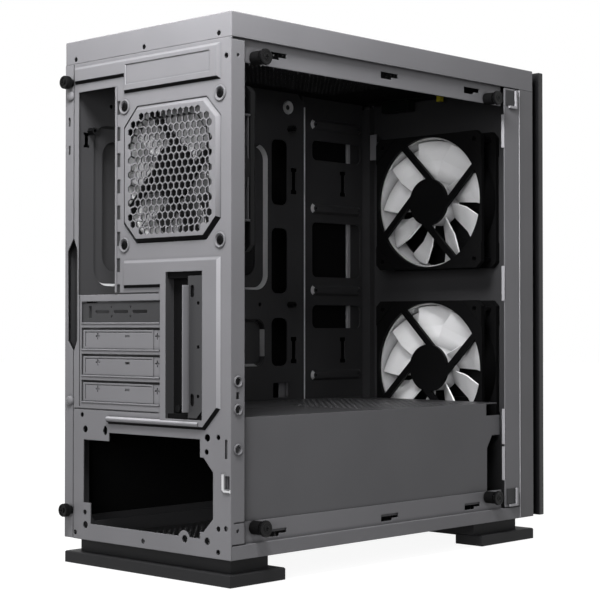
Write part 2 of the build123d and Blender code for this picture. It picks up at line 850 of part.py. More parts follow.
def front_frame():
    """Front sheet with the two fan openings and the folded corner columns."""
    inner_near = near + column_widths[0]
    inner_far = far - column_widths[1]
    outer = near + sheet / 2
    sheet_y = front_out + sheet / 2
    web = column_front + sheet / 2
    path = [(outer, column_back), (outer, web), (inner_near, web), (inner_near, sheet_y),
            (inner_far, sheet_y), (inner_far, web), (far_flange, web),
            (far_flange, column_back - column_clear)]
    z = (floor_z + lip_height + over, cover_z - sheet)
    body = plate_z(bent(path, sheet), *z)
    middle = (inner_near - sheet / 2, inner_far + sheet / 2)
    body += block(middle, (front_out, front_in), (floor_z, z[0]))
    body += block(middle, (front_out, front_in), (z[1], roof_z))
    holes = []
    for fan_height in (lower_fan_z, upper_fan_z):
        holes += [Pos(front_fan_x, fan_height) * Circle(fan_bore - fan_mouth_lip)]
        holes += dots(square_of(front_fan_x, fan_height, fan_hole_span), fan_hole_radius)
    return body - plate_y(Sketch() + holes, front_out - over, front_in + over)


def psu_shroud():
    """Cover over the power supply and drive bays, folded from one sheet."""
    x = rail_x + 1.5 * sheet
    top = shroud_z - sheet / 2
    path = [(x, floor_z + lip_height + shroud_low), (x, top), (tray_x, top)]
    body = plate_y(bent(path, sheet), shroud_front, rear_in)
    back = shroud_front + shroud_mouth
    start = shroud_front - over
    tab_top, tab_low, slope_low = [shroud_z - drop for drop in shroud_mouth_drops]
    mouth = outline((start, floor_z), (back, floor_z), (back, slope_low),
                    (back - shroud_mouth_slope, tab_low), (start, tab_low))
    mouth += rect((start, back + over), (tab_top, shroud_z + over))
    body -= plate_x(mouth, rail_x, rail_x + 4 * sheet)
    vents = [Pos(u, shroud_front + shroud_vent_start + i * shroud_vent_pitch) * SlotOverall(*shroud_vent)
             for i in range(shroud_vent_count) for u in shroud_vent_columns]
    return body - plate_z(Sketch() + vents, shroud_z - 2 * sheet, shroud_z + over)


def drive_cage():
    """Open-sided cage for two hard drives on the floor under the shroud."""
    x = (rail_x + cage_margins[0], tray_x - cage_margins[1])
    y0, y1 = cage_y
    base = floor_z + 1.5 * sheet
    top = floor_z + sheet + cage_height
    path = [(y0 - cage_foot, base), (y0, base), (y0, top), (y1, top), (y1, base), (y1 + cage_foot, base)]
    body = plate_x(bent(path, sheet), *x)
    ledge_z = (floor_z + cage_middle, floor_z + cage_middle + sheet)
    body += block(x, (y0 + sheet / 2, y0 + cage_ledge), ledge_z)
    body += block(x, (y1 - cage_ledge, y1 - sheet / 2), ledge_z)
    return body


def psu_rest_pads():
    rest_y = (cage_y[1] + cage_foot + rest_gaps[0], rear - rest_gaps[1])
    middle = floor_z + sheet + rest_size[2] / 2
    return group(Pos(x, y, middle) * Box(*rest_size) for x in (-rest_x, rest_x) for y in rest_y)


# Top cover with its vent recess, dust filter, buttons and sockets

def top_cover():
    outer = block((near, far), (front, rear), (cover_z, body_height))
    edges = outer.edges().group_by(Axis.Z)
    body = fillet(edges[1] + edges[2], cover_round)
    body -= block((near + cover_sheet, far - cover_sheet), (front + cover_sheet, rear - cover_sheet),
                  (cover_z - over, body_height - cover_sheet))
    half = filter_width / 2
    body += block(grown((-half, half), sheet), grown(filter_y, sheet), (pan_z - cover_sheet, body_height))
    body -= block((-half, half), filter_y, (pan_z, body_height + over))
    reach = filter_width - 2 * pan_vent_margins[0]
    start = filter_y[0] + pan_vent_margins[1]
    step = (filter_length - 2 * pan_vent_margins[1]) / pan_vent_count
    vents = [Pos(0, start + (i + 0.5) * step) * SlotOverall(reach, pan_vent) for i in range(pan_vent_count)]
    body -= plate_z(Sketch() + vents, pan_z - 2 * cover_sheet, pan_z + over)
    usb_hole = Rectangle(usb_width + 2 * socket_gap, usb_depth + 2 * socket_gap)
    holes = [Pos(power_x, io_row_y) * Circle(power_radius + running_gap)]
    holes += [Pos(reset_x, io_row_y) * Circle(reset_radius + running_gap)]
    holes += [Pos(x, io_row_y) * usb_hole for x in usb_places]
    holes += dots([(x, io_row_y) for x in jack_places], jack_radius + socket_gap)
    return body - plate_z(Sketch() + holes, body_height - 2 * cover_sheet, body_height + over)


def top_dust_filter():
    """Magnetic frame with cross bars that lies in the cover's recess."""
    half = filter_width / 2 - seat
    u = (-half, half)
    v = grown(filter_y, -seat)
    frame = rounded(u, v, filter_corner) - bars_grid(u, v, filter_rim, filter_bar, filter_rows)
    return plate_z(frame, pan_z, body_height - seat)


def front_io_board():
    """Board under the roof, with the header that its leads plug into."""
    x = (jack_places[-1] - board_margins[0], power_x + board_margins[0])
    y = (io_row_y - board_margins[1], io_row_y + board_margins[1])
    under = io_board_z - board_thickness
    length, depth, drop = header_size
    middle = far - header_inset
    header = block((middle - length / 2, middle + length / 2), (io_row_y - depth / 2, io_row_y + depth / 2),
                   (under - drop, under))
    return block(x, y, (under, io_board_z)) + header


def usb_sockets():
    top = body_height - socket_drop
    floor = top - usb_hollow
    width, depth, shift = usb_tongue
    shell = plate_z(Rectangle(usb_width, usb_depth), io_board_z, top)
    shell -= plate_z(Rectangle(usb_width - 2 * usb_wall, usb_depth - 2 * usb_wall), floor, top + over)
    socket = shell + plate_z(Pos(0, shift) * Rectangle(width, depth), floor, top - over)
    return group(Pos(x, io_row_y) * socket for x in usb_places)


def audio_sockets():
    top = body_height - socket_drop
    socket = rod_z(0, 0, jack_radius, io_board_z, top) - rod_z(0, 0, jack_bore, top - jack_hollow, top + over)
    return group(Pos(x, io_row_y) * socket for x in jack_places)


def button_switches():
    switch = plate_z(Rectangle(switch_side, switch_side), io_board_z, io_board_z + switch_height)
    return group(Pos(x, io_row_y) * switch for x in (power_x, reset_x))


def push_button(x, radius):
    """Cap in the cover's hole, a retaining flange below it and a stem to the switch."""
    top = body_height - button_drop
    flange_z = body_height - cover_sheet - button_travel - running_gap
    stem_end = io_board_z + switch_height + button_travel + running_gap
    cap = rod_z(x, io_row_y, radius, flange_z, top)
    cap = chamfer(cap.faces().sort_by(Axis.Z)[-1].edges(), button_edge)
    flange = rod_z(x, io_row_y, radius + button_flange, flange_z - button_sheet, flange_z)
    return cap + flange + rod_z(x, io_row_y, stem_radius, stem_end, flange_z - button_sheet)


# Steel side panel that slides back, and its captive thumbscrews

def right_side_panel():
    """Sheet with folded-back edges, guide tabs and a strip that closes on the rear panel."""
    y = (column_front - seat, rear)
    z = (floor_z + seat, cover_z - seat)
    skin = far - sheet
    low_hem, top_hem, front_hem = hem_widths
    body = block((skin, far), y, z)
    for hem_z in ((z[0], z[0] + low_hem), (z[1] - top_hem, z[1])):
        body += block((skin - sheet, skin), (y[0], y[1] - hem_rear_gap), hem_z)
    body += block((skin - sheet, skin), (y[0], y[0] + front_hem), z)
    body += block((seam_x, far), (rear_in, rear), z)
    for tab_z in (bottom_tab_z, top_tab_z):
        for tab_y in tab_places():
            body += block((far_flange - 1.5 * sheet, skin), (tab_y - tab_length / 2, tab_y + tab_length / 2),
                          (tab_z - tab_half, tab_z + tab_half))
    body -= plate_y(finger_grip(), rear_in - over, rear + over)
    for screw_z in side_screw_heights:
        body -= rod_y(screw_x, screw_z, screw_radius + shaft_gap, rear_in - over, rear + over)
    return body


def thumbscrew(head_radius, head_height):
    """Screw along +Z with its head above the seat, turned about its own axis."""
    neck = 0.7 * head_radius
    profile = outline((0, -screw_reach), (screw_radius, -screw_reach), (screw_radius, 0), (neck, 0),
                      (neck, 0.2 * head_height), (head_radius, 0.32 * head_height),
                      (head_radius, head_height - thumb_edge), (head_radius - thumb_edge, head_height),
                      (0, head_height))
    return revolve(Plane.XZ * profile, Axis.Z)


def side_thumbscrew(z):
    return Pos(screw_x, rear + seat, z) * Rot(-90, 0, 0) * thumbscrew(side_thumb_radius, side_thumb_height)


# Front bezel, filter, intake frame and plate

def front_bezel():
    y = (front, column_front - seat)
    z = (floor_z, cover_z - seat)
    inside = (near + bezel_wall, far - bezel_wall)
    body = block((near, far), y, z)
    body = chamfer(body.faces().sort_by(Axis.Y)[0].edges(), bezel_edge)
    body -= block(inside, (front + bezel_face, y[1] + over), grown(z, -bezel_wall))
    # The top and bottom walls stop short of the chassis front sheet
    for end in (z[0], z[1]):
        body -= block(inside, (front_out - running_gap, y[1] + over),
                      (end - 2 * bezel_wall, end + 2 * bezel_wall))
    half = fan_size / 2
    intake = rounded((front_fan_x - half, front_fan_x + half), grown(z, -intake_margin), intake_corner)
    body -= plate_y(intake, front - over, front + bezel_face + over)
    for x in (near + peg_inset, far - peg_inset):
        for peg_z in grown(z, -peg_drop):
            body += rod_y(x, peg_z, peg_radius, front + bezel_face - sheet / 2, front_out)
    return body


def front_dust_filter():
    """Framed mesh carrier behind the bezel's intake."""
    half = fan_size / 2 + front_filter_lap
    u = (front_fan_x - half, front_fan_x + half)
    v = grown((floor_z, cover_z - seat), front_filter_lap - intake_margin)
    frame = rounded(u, v, intake_corner) - bars_grid(u, v, filter_rim, filter_bar, front_filter_rows)
    inner = front + bezel_face
    return plate_y(frame, inner, inner + front_filter_thickness)


def front_intake_frame():
    """Dark spacer behind the front plate, slotted along its sides for air."""
    y = (plate_back, front)
    x = (near + spacer_inset, far - spacer_inset)
    z = (floor_z + spacer_ends, body_height - spacer_ends)
    ring = rect(x, z) - rect(grown(x, -spacer_wall), grown(z, -spacer_wall))
    body = plate_y(ring, *y)
    step = (z[1] - z[0] - 2 * spacer_margin) / spacer_slots
    for i in range(spacer_slots):
        low = z[0] + spacer_margin + i * step + spacer_web / 2
        body -= block(grown(x, over), grown(y, -spacer_rim), (low, low + step - spacer_web))
    return body


def front_plate():
    plate = block((near, far), (plate_front, plate_back), (floor_z, body_height))
    return chamfer(plate.edges(), plate_edge)


# Feet and their rubber pads

foot_x = (near + foot_inset, far - foot_inset)
foot_pad_places = [(x, y) for x in (near + foot_pad_inset, far - foot_pad_inset)
                   for y in (rear - rear_foot_depth / 2, front + front_pad_inset)]


def foot(plan, neck):
    """Slab with pockets for its pads, and a narrower neck up to the floor sheet."""
    slab = plate_z(plan, pad_drop, foot_slab_height)
    slab = chamfer(slab.faces().sort_by(Axis.Z)[-1].edges(), foot_edge)
    pockets = [Pos(x, y) * Rectangle(foot_pad_length, foot_pad_width) for x, y in foot_pad_places]
    return slab + plate_z(neck, foot_slab_height, floor_z) - plate_z(Sketch() + pockets, 0, pad_height)


def rear_foot():
    y = (rear - rear_foot_depth, rear)
    return foot(rect(foot_x, y), rect(grown(foot_x, -neck_inset), grown(y, -neck_inset)))


def front_foot():
    """Bar along the front with a block under each front corner."""
    back = front + front_foot_depth
    gap = rect(grown(foot_x, -front_foot_block), (front + front_foot_bar, back + over))
    plan = rect(foot_x, (front, back)) - gap
    return foot(plan, plan & rect(grown(foot_x, -neck_inset), (front_in + seat, back)))


def foot_pads():
    pad = plate_z(Rectangle(foot_pad_length - 2 * seat, foot_pad_width - 2 * seat), 0, pad_height)
    return group(Pos(x, y) * pad for x, y in foot_pad_places)


# Glass panel posts on the open side

post_places = {
    "top_rear": (rear - post_rear_inset, cover_z - post_top_drop),
    "top_front": (front + post_front_inset, cover_z - post_top_drop),
    "bottom_rear": (rear - post_rear_inset, floor_z + post_floor_rise),
    "bottom_front": (front + post_front_inset, floor_z + post_floor_rise),
}


def glass_posts():
    ring = Circle(post_radius) - Circle(screw_radius + shaft_gap)
    return group(plate_x(Pos(y, z) * ring, post_end, rail_x) for y, z in post_places.values())


def glass_post_collars():
    ring = Circle(collar_radius) - Circle(post_radius + fit_gap)
    return group(plate_x(Pos(y, z) * ring, post_end + seat, rail_x) for y, z in post_places.values())


def glass_thumbscrew(place):
    y, z = post_places[place]
    return Pos(post_end - seat, y, z) * Rot(0, -90, 0) * thumbscrew(thumb_head_radius, thumb_head_height)


# Fans, built along +Z with the motor on the outlet side and turned to blow along +Y

def fan_frame():
    """Square frame with a round duct, and a motor base on four struts that pass beside its middle."""
    half = fan_size / 2
    square = chamfered((-half, half), (-half, half), fan_corner)
    bore = Circle(fan_bore)
    flange = square - bore - dots(square_of(0, 0, fan_hole_span), fan_hole_radius)
    duct = (Circle(fan_bore + fan_wall) - bore) & square
    body = plate_z(flange, 0, fan_flange) + plate_z(duct, fan_flange, fan_thickness - fan_flange)
    body += plate_z(flange, fan_thickness - fan_flange, fan_thickness)
    base = fan_thickness - strut_depth
    strut = rect((0, fan_bore + fan_wall), (-strut_offset - strut_width / 2, strut_width / 2 - strut_offset))
    struts = [Rot(0, 0, 45 + 90 * i) * strut for i in range(4)]
    reach = Circle(fan_bore + fan_wall / 2)
    hub = plate_z((Circle(motor_radius) + struts) & reach, base, fan_thickness)
    hub += plate_z(Circle(bearing_radius), bearing_start, base)
    bore = plate_z(Circle(shaft_radius + shaft_gap), bearing_start - over, fan_thickness - tube_end)
    return body + hub - bore


def fan_light_ring():
    outer = fan_bore - fit_gap
    ring = Circle(outer) - Circle(outer - light_ring_wall)
    return plate_z(ring, light_ring_start, fan_thickness - strut_depth - seat)


def fan_blade():
    """Swept blade: a thin section that widens, flattens and leans back towards the tip."""
    root = hub_radius - blade_root
    radii = (root, (root + fan_bore) / 2, fan_bore)
    sections = []
    for radius, chord, pitch, lean in zip(radii, blade_chords, blade_pitches, blade_leans):
        away = Vector(1, 0, 0).rotate(Axis.Z, lean)
        along = Vector(0, 1, 0).rotate(Axis.Z, lean)
        plane = Plane(origin=away * radius + Vector(0, 0, blade_level), x_dir=along, z_dir=away)
        sections.append(plane * (Rot(0, 0, pitch) * Rectangle(chord, blade_thickness)))
    return loft(sections, ruled=True)


def fan_rotor():
    end = fan_thickness - strut_depth - rotor_gap
    hub = plate_z(Circle(hub_radius), hub_start, end)
    hub = fillet(hub.edges().sort_by(Axis.Z)[0], hub_round)
    tip = fan_bore - light_ring_wall - blade_tip_gap
    blade = fan_blade() & plate_z(Circle(tip), 0, fan_thickness)
    rotor = hub + [Rot(0, 0, i * 360 / blade_count) * blade for i in range(blade_count)]
    rotor -= plate_z(Circle(hub_radius - hub_wall), hub_start + hub_top, fan_thickness)
    shaft_end = fan_thickness - tube_end - shaft_end_gap
    return rotor + plate_z(Circle(shaft_radius), hub_start + hub_top / 2, shaft_end)


def fan_stator():
    """Iron core with four poles round the bearing tube."""
    inner = bearing_radius + fit_gap
    core = Circle(bearing_radius + core_wall) - Circle(inner)
    pole = rect((bearing_radius + core_wall / 2, pole_reach), (-pole_width / 2, pole_width / 2))
    pole += rect((pole_reach - shoe_wall / 2, pole_reach + shoe_wall / 2), (-shoe_width / 2, shoe_width / 2))
    return plate_z(core + [Rot(0, 0, 90 * i) * pole for i in range(4)], *core_span)


def fan_pads():
    """Rubber corners on both faces of the frame."""
    half = fan_size / 2
    corner = outline((half, half - fan_corner), (half - fan_corner, half), (half - pad_leg, half),
                     (half, half - pad_leg))
    corner -= Pos(fan_hole_span / 2, fan_hole_span / 2) * Circle(fan_hole_radius)
    pad = plate_z(corner, -pad_thickness, 0)
    pads = [pad, Pos(0, 0, fan_thickness + pad_thickness) * pad]
    return group(Rot(0, 0, 90 * i) * pad for i in range(4) for pad in pads)


def fan_screws(x, z, sheet_y, facing):
    """Four screws whose heads lie on the outside of the sheet at sheet_y."""
    head_radius, head_height = fan_screw_head
    shank_radius, shank_length = fan_screw_shank
    head = sorted((sheet_y, sheet_y + facing * head_height))
    shank = sorted((sheet_y, sheet_y - facing * shank_length))
    return group(rod_y(u, v, head_radius, *head) + rod_y(u, v, shank_radius, *shank)
                 for u, v in square_of(x, z, fan_hole_span))


fan_places = {
    "rear_fan": Pos(fan_x, rear_in - pad_thickness - fan_thickness, fan_z),
    "upper_front_fan": Pos(front_fan_x, front_in + pad_thickness, upper_fan_z),
    "lower_front_fan": Pos(front_fan_x, front_in + pad_thickness, lower_fan_z),
}

# All pieces by name

nodes = {
    "rear_panel": rear_panel(),
    "rear_vent_grille": rear_vent_grille(),
    "slot_clamp": slot_clamp(),
    "slot_clamp_screw": slot_clamp_screw(),
    "motherboard_tray": motherboard_tray(),
    "cable_panel": cable_panel(),
    "motherboard_standoffs": motherboard_standoffs(),
    "top_panel": top_panel(),
    "bottom_panel": bottom_panel(),
    "front_frame": front_frame(),
    "psu_shroud": psu_shroud(),
    "drive_cage": drive_cage(),
    "psu_rest_pads": psu_rest_pads(),
    "top_cover": top_cover(),
    "top_dust_filter": top_dust_filter(),
    "front_io_board": front_io_board(),
    "usb_sockets": usb_sockets(),
    "audio_sockets": audio_sockets(),
    "button_switches": button_switches(),
    "power_button": push_button(power_x, power_radius),
    "reset_button": push_button(reset_x, reset_radius),
    "right_side_panel": right_side_panel(),
    "side_thumbscrew_lower": side_thumbscrew(side_screw_heights[0]),
    "side_thumbscrew_upper": side_thumbscrew(side_screw_heights[1]),
    "front_bezel": front_bezel(),
    "front_dust_filter": front_dust_filter(),
    "front_intake_frame": front_intake_frame(),
    "front_plate": front_plate(),
    "rear_foot": rear_foot(),
    "front_foot": front_foot(),
    "foot_pads": foot_pads(),
    "glass_posts": glass_posts(),
    "glass_post_collars": glass_post_collars(),
}

for i in range(slot_count):
    nodes[f"slot_cover_{i + 1}"] = slot_cover(i)

for place in post_places:
    nodes[f"glass_thumbscrew_{place}"] = glass_thumbscrew(place)

fan_pieces = {
    "frame": fan_frame(),
    "light_ring": fan_light_ring(),
    "rotor": fan_rotor(),
    "stator": fan_stator(),
    "pads": fan_pads(),
}
for fan, place in fan_places.items():
    for piece, solid in fan_pieces.items():
        nodes[f"{fan}_{piece}"] = place * Rot(-90, 0, 0) * solid
nodes["rear_fan_screws"] = fan_screws(fan_x, fan_z, rear, 1)
nodes["upper_front_fan_screws"] = fan_screws(front_fan_x, upper_fan_z, front_out, -1)
nodes["lower_front_fan_screws"] = fan_screws(front_fan_x, lower_fan_z, front_out, -1)

# The origin goes under the middle of the whole object
to_origin = Pos(-(thumb_end + far) / 2, -(plate_front + side_thumb_end) / 2, 0)
for name, solid in nodes.items():
    export_step(to_origin * solid, f"parts/{name}.step")
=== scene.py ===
import json
import math

import bmesh
import bpy
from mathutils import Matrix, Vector


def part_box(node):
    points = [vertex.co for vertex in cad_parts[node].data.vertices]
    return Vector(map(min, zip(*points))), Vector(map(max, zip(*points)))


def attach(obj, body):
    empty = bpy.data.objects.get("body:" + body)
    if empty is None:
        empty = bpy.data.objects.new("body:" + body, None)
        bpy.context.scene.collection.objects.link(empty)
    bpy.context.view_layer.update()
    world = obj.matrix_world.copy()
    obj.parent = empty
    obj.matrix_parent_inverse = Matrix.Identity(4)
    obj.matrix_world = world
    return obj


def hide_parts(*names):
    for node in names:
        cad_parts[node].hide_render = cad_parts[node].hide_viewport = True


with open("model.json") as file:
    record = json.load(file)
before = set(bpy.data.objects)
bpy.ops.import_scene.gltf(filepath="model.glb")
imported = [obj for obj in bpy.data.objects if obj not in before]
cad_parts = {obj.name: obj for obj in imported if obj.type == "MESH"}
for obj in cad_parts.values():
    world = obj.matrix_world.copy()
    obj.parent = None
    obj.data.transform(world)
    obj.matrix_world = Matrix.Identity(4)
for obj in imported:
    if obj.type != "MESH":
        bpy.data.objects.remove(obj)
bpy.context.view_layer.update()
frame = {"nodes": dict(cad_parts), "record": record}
nodes = frame["nodes"]
MM = 0.001


# Materials

def new_material(name):
    """Empty node material with its principled shader."""
    material = bpy.data.materials.new(name)
    material.use_nodes = True
    tree = material.node_tree
    return material, tree, tree.nodes["Principled BSDF"]


def noise(tree, scale, detail=2.0):
    """Noise in object coordinates, so that it stays on the piece."""
    place = tree.nodes.new("ShaderNodeTexCoord")
    texture = tree.nodes.new("ShaderNodeTexNoise")
    texture.inputs["Scale"].default_value = scale
    texture.inputs["Detail"].default_value = detail
    tree.links.new(place.outputs["Object"], texture.inputs["Vector"])
    return texture


def ramp(tree, source, low, high):
    """Two-colour ramp over the middle of a noise."""
    node = tree.nodes.new("ShaderNodeValToRGB")
    node.color_ramp.elements[0].position = 0.35
    node.color_ramp.elements[1].position = 0.65
    node.color_ramp.elements[0].color = (*low, 1.0)
    node.color_ramp.elements[1].color = (*high, 1.0)
    tree.links.new(source.outputs["Fac"], node.inputs["Fac"])
    return node


def span(tree, source, low, high):
    """Noise value spread between two numbers."""
    node = tree.nodes.new("ShaderNodeMapRange")
    node.inputs["To Min"].default_value = low
    node.inputs["To Max"].default_value = high
    tree.links.new(source.outputs["Fac"], node.inputs["Value"])
    return node


def shade(colour, factor):
    return tuple(channel * factor for channel in colour)


def coated(name, colour, roughness, grain, bump, variation=0.06, metallic=0.0, specular=0.5, edge=0.0,
           crevice_shade=0.0):
    """Surface with a fine grain, a slow change of tone, uneven gloss, softened edges and painted shade in
    its crevices.
    """
    material, tree, shader = new_material(name)
    slow = noise(tree, 14.0)
    fine = noise(tree, grain, 3.0)
    tone = ramp(tree, slow, shade(colour, 1 - variation), shade(colour, 1 + variation))
    gloss = span(tree, fine, roughness - 0.06, roughness + 0.06)
    relief = tree.nodes.new("ShaderNodeBump")
    relief.inputs["Strength"].default_value = bump
    relief.inputs["Distance"].default_value = 0.0002
    if edge:
        rounding = tree.nodes.new("ShaderNodeBevel")
        rounding.inputs["Radius"].default_value = edge * MM
        tree.links.new(rounding.outputs["Normal"], relief.inputs["Normal"])
    tree.links.new(fine.outputs["Fac"], relief.inputs["Height"])
    shown = tone
    # Ambient occlusion darkens the colour in creases, as painted shade.
    if crevice_shade:
        shown = tree.nodes.new("ShaderNodeAmbientOcclusion")
        shown.samples = 8
        shown.inputs["Distance"].default_value = crevice_shade * MM
        tree.links.new(tone.outputs["Color"], shown.inputs["Color"])
    tree.links.new(shown.outputs["Color"], shader.inputs["Base Color"])
    tree.links.new(gloss.outputs["Result"], shader.inputs["Roughness"])
    tree.links.new(relief.outputs["Normal"], shader.inputs["Normal"])
    shader.inputs["Metallic"].default_value = metallic
    shader.inputs["Specular IOR Level"].default_value = specular
    return material


paint_grain = 2600.0
mould_grain = 1500.0

# Painted steel in seven tones: lit and shaded copies of one grey, with painted highlights on lit folds and
# painted shade in insides, hollows and crevices, which are much darker than its outsides
# Graphite carries painted shade in its crevices.
graphite = coated("graphite_coat", (0.165, 0.1635, 0.173), 0.4, paint_grain, 0.12, 0.04,
                  specular=0.15, edge=1.0, crevice_shade=3.0)
# Lighter copy of the graphite: a painted highlight on folds, bevels, lips and strips that face the lamps.
highlight_coat = coated("highlight_coat", (0.31, 0.307, 0.324), 0.36, paint_grain, 0.1, 0.04, specular=0.3, edge=0.8)
shaded_coat = coated("shaded_coat", (0.04, 0.04, 0.042), 0.4, paint_grain, 0.12, 0.04,
                     specular=0.12, edge=0.8)
# Dark grey of painted shade for insides and deep sheets; on the rear fan's black side ribs it stands in for
# light.
shade_and_light_grey = coated("shade_and_light_grey", (0.038, 0.0377, 0.0398), 0.36, paint_grain, 0.12, specular=0.15, edge=0.8)
# Darker copy of the graphite for the shroud: painted shade, because it is set back.
shroud_shade_coat = coated("shroud_shade_coat", (0.1, 0.099, 0.105), 0.4, paint_grain, 0.12, 0.04,
                     specular=0.15, edge=1.0, crevice_shade=3.0)
# Light grey on lit bevels and folds inside: a painted highlight.
inside_glint_coat = coated("inside_glint_coat", (0.5, 0.5, 0.515), 0.36, paint_grain, 0.12, specular=0.3, edge=0.8)
# Near black: painted shade in deep places, on downward faces and under the roof, and the own black of the
# intake frame and the fan screws.
black_and_shade_coat = coated("black_and_shade_coat", (0.006, 0.006, 0.0063), 0.6, paint_grain, 0.12, specular=0.02)

# Plastics, rubber, screws and small metal
bezel_matte = coated("bezel_matte", (0.125, 0.124, 0.13), 0.5, 1800.0, 0.12, specular=0.2, edge=0.6)
foot_matte = coated("foot_matte", (0.018, 0.018, 0.019), 0.5, mould_grain, 0.2, specular=0.1, edge=0.6)
plate_smooth = coated("plate_smooth", (0.012, 0.012, 0.013), 0.25, 900.0, 0.03, specular=0.3, edge=0.4)
black_matte = coated("black_matte", (0.005, 0.005, 0.0053), 0.45, mould_grain, 0.15, specular=0.07, edge=0.3)
# White plastic with painted shade where parts close over it, as where fan blades overlap.
white_frost = coated("white_frost", (0.9, 0.9, 0.915), 0.45, mould_grain, 0.05, 0.02, crevice_shade=11.0)
# White drawn grey: painted shade for a white rotor behind the grille.
grille_shade_white = coated("grille_shade_white", (0.33, 0.33, 0.34), 0.45, mould_grain, 0.05, 0.02)
rubber = coated("rubber_matte", (0.005, 0.005, 0.0052), 0.75, 1200.0, 0.25, specular=0.06)
black_oxide = coated("black_oxide", (0.005, 0.005, 0.0053), 0.35, 1800.0, 0.1, 0.1, specular=0.12)
bright_steel = coated("bright_steel", (0.55, 0.55, 0.56), 0.3, 2200.0, 0.08, 0.05, 1.0)
core_iron = coated("core_iron", (0.22, 0.17, 0.14), 0.5, 1800.0, 0.2, 0.1, 0.5)
yellow_plug = coated("yellow_plug", (0.5, 0.42, 0.02), 0.45, mould_grain, 0.05)
board_mask = coated("board_mask", (0.006, 0.0075, 0.0065), 0.45, mould_grain, 0.1, specular=0.15)

finish_of_slot = {
    "graphite_steel": graphite,
    # dark_steel parts are drawn in the dark grey of painted shade.
    "dark_steel": shade_and_light_grey,
    "bezel_plastic": bezel_matte,
    "plate_plastic": plate_smooth,
    "black_plastic": black_matte,
    "white_plastic": white_frost,
    "foot_plastic": foot_matte,
    "black_rubber": rubber,
    "black_screw": black_oxide,
    "steel": bright_steel,
    "core_iron": core_iron,
    "board": board_mask,
}


def paint(piece, *materials):
    piece.data.materials.clear()
    for material in materials:
        piece.data.materials.append(material)


for part in frame["record"]["subparts"]:
    paint(nodes[part["node"]], finish_of_slot[part["material_slot"]])
# The rear fan's white rotor is drawn grey as painted shade from the grille.
paint(nodes["rear_fan_rotor"], grille_shade_white)
paint(nodes["front_intake_frame"], black_and_shade_coat)


# Places on the case, in millimetres from the middle of its plan and from the floor

def node_span(node, axis):
    """Lowest and highest place of a node along one axis of the case."""
    low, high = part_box(node)
    return (low[axis] - middle[axis]) / MM, (high[axis] - middle[axis]) / MM


cover_low, cover_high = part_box("top_cover")
middle = ((cover_low[0] + cover_high[0]) / 2, (cover_low[1] + cover_high[1]) / 2, 0.0)
near, far = node_span("top_cover", 0)
rear = node_span("top_cover", 1)[1]
floor_z = node_span("bottom_panel", 2)[0]
cover_z = node_span("top_cover", 2)[0]
shroud_z = node_span("psu_shroud", 2)[1]
tray_x = node_span("motherboard_standoffs", 0)[1]
sheet = 1.0


def case_place(point):
    """Place on the case of a point of the frame."""
    return [(point[i] - middle[i]) / MM for i in range(3)]


def within(value, limits):
    return limits[0] < value < limits[1]


def spot(axis, u, v, w):
    """Point at w along an axis, with u and v along the two others, in the frame's metres."""
    x, y, z = {"x": (w, u, v), "y": (u, w, v), "z": (u, v, w)}[axis]
    return Vector((middle[0] + x * MM, middle[1] + y * MM, z * MM))


# Mesh building

def circle(u, v, radius, count=20):
    turns = [2 * math.pi * i / count for i in range(count)]
    return [(u + radius * math.cos(t), v + radius * math.sin(t)) for t in turns]


def box_points(u, v):
    return [(u[0], v[0]), (u[1], v[0]), (u[1], v[1]), (u[0], v[1])]


def half_round(u, v, radius, start=0.0, count=8):
    """Half circle that begins at an angle, as an outline."""
    turns = [start + math.pi * i / count for i in range(count + 1)]
    return [(u + radius * math.cos(t), v + radius * math.sin(t)) for t in turns]


def angle_points(corner, inner, end):
    """Outline of an angle with its outer corner, its inner corner and the ends of its two legs."""
    return [(corner[0], end[1]), corner, (end[0], corner[1]), (end[0], inner[1]), inner, (inner[0], end[1])]


def cross_points(u, v, reach, half):
    """Outline of an upright cross."""
    points = []
    corner = [(half, half), (half, reach), (-half, reach)]
    for _ in range(4):
        points += corner
        corner = [(-b, a) for a, b in corner]
    return [(u + a, v + b) for a, b in points]


def skin(builder, rings, closed=False):
    """Walls between rings of points, with both ends capped unless the rings close on themselves."""
    for lower, upper in zip(rings, rings[1:] + rings[:1] if closed else rings[1:]):
        for i in range(len(lower)):
            builder.faces.new((lower[i - 1], lower[i], upper[i], upper[i - 1]))
    if not closed:
        builder.faces.new(rings[0])
        builder.faces.new(rings[-1])


def prism(builder, points, axis, start, end):
    """Closed prism over an outline, along one axis of the case."""
    skin(builder, [[builder.verts.new(spot(axis, u, v, w)) for u, v in points] for w in (start, end)])


def turned(builder, profile, axis, u, v, count=24, closed=False):
    """Turned solid round a line along one axis; the profile gives radius and place along it."""
    rings = []
    for radius, w in profile:
        rings.append([builder.verts.new(spot(axis, *point, w)) for point in circle(u, v, radius, count)])
    skin(builder, rings, closed)


def soften(mesh, angle=35.0):
    """Smooth shading over gentle turns only."""
    mesh.polygons.foreach_set("use_smooth", [True] * len(mesh.polygons))
    mesh.set_sharp_from_angle(angle=math.radians(angle))


def place_mesh(builder, name):
    bmesh.ops.recalc_face_normals(builder, faces=builder.faces)
    mesh = bpy.data.meshes.new(name)
    builder.to_mesh(mesh)
    builder.free()
    piece = bpy.data.objects.new(name, mesh)
    bpy.context.scene.collection.objects.link(piece)
    return piece


def carry(piece, slot, *materials, body="chassis"):
    """Finish a piece and let it ride on a body of the frame."""
    soften(piece.data)
    paint(piece, *(materials or (finish_of_slot[slot],)))
    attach(piece, body)


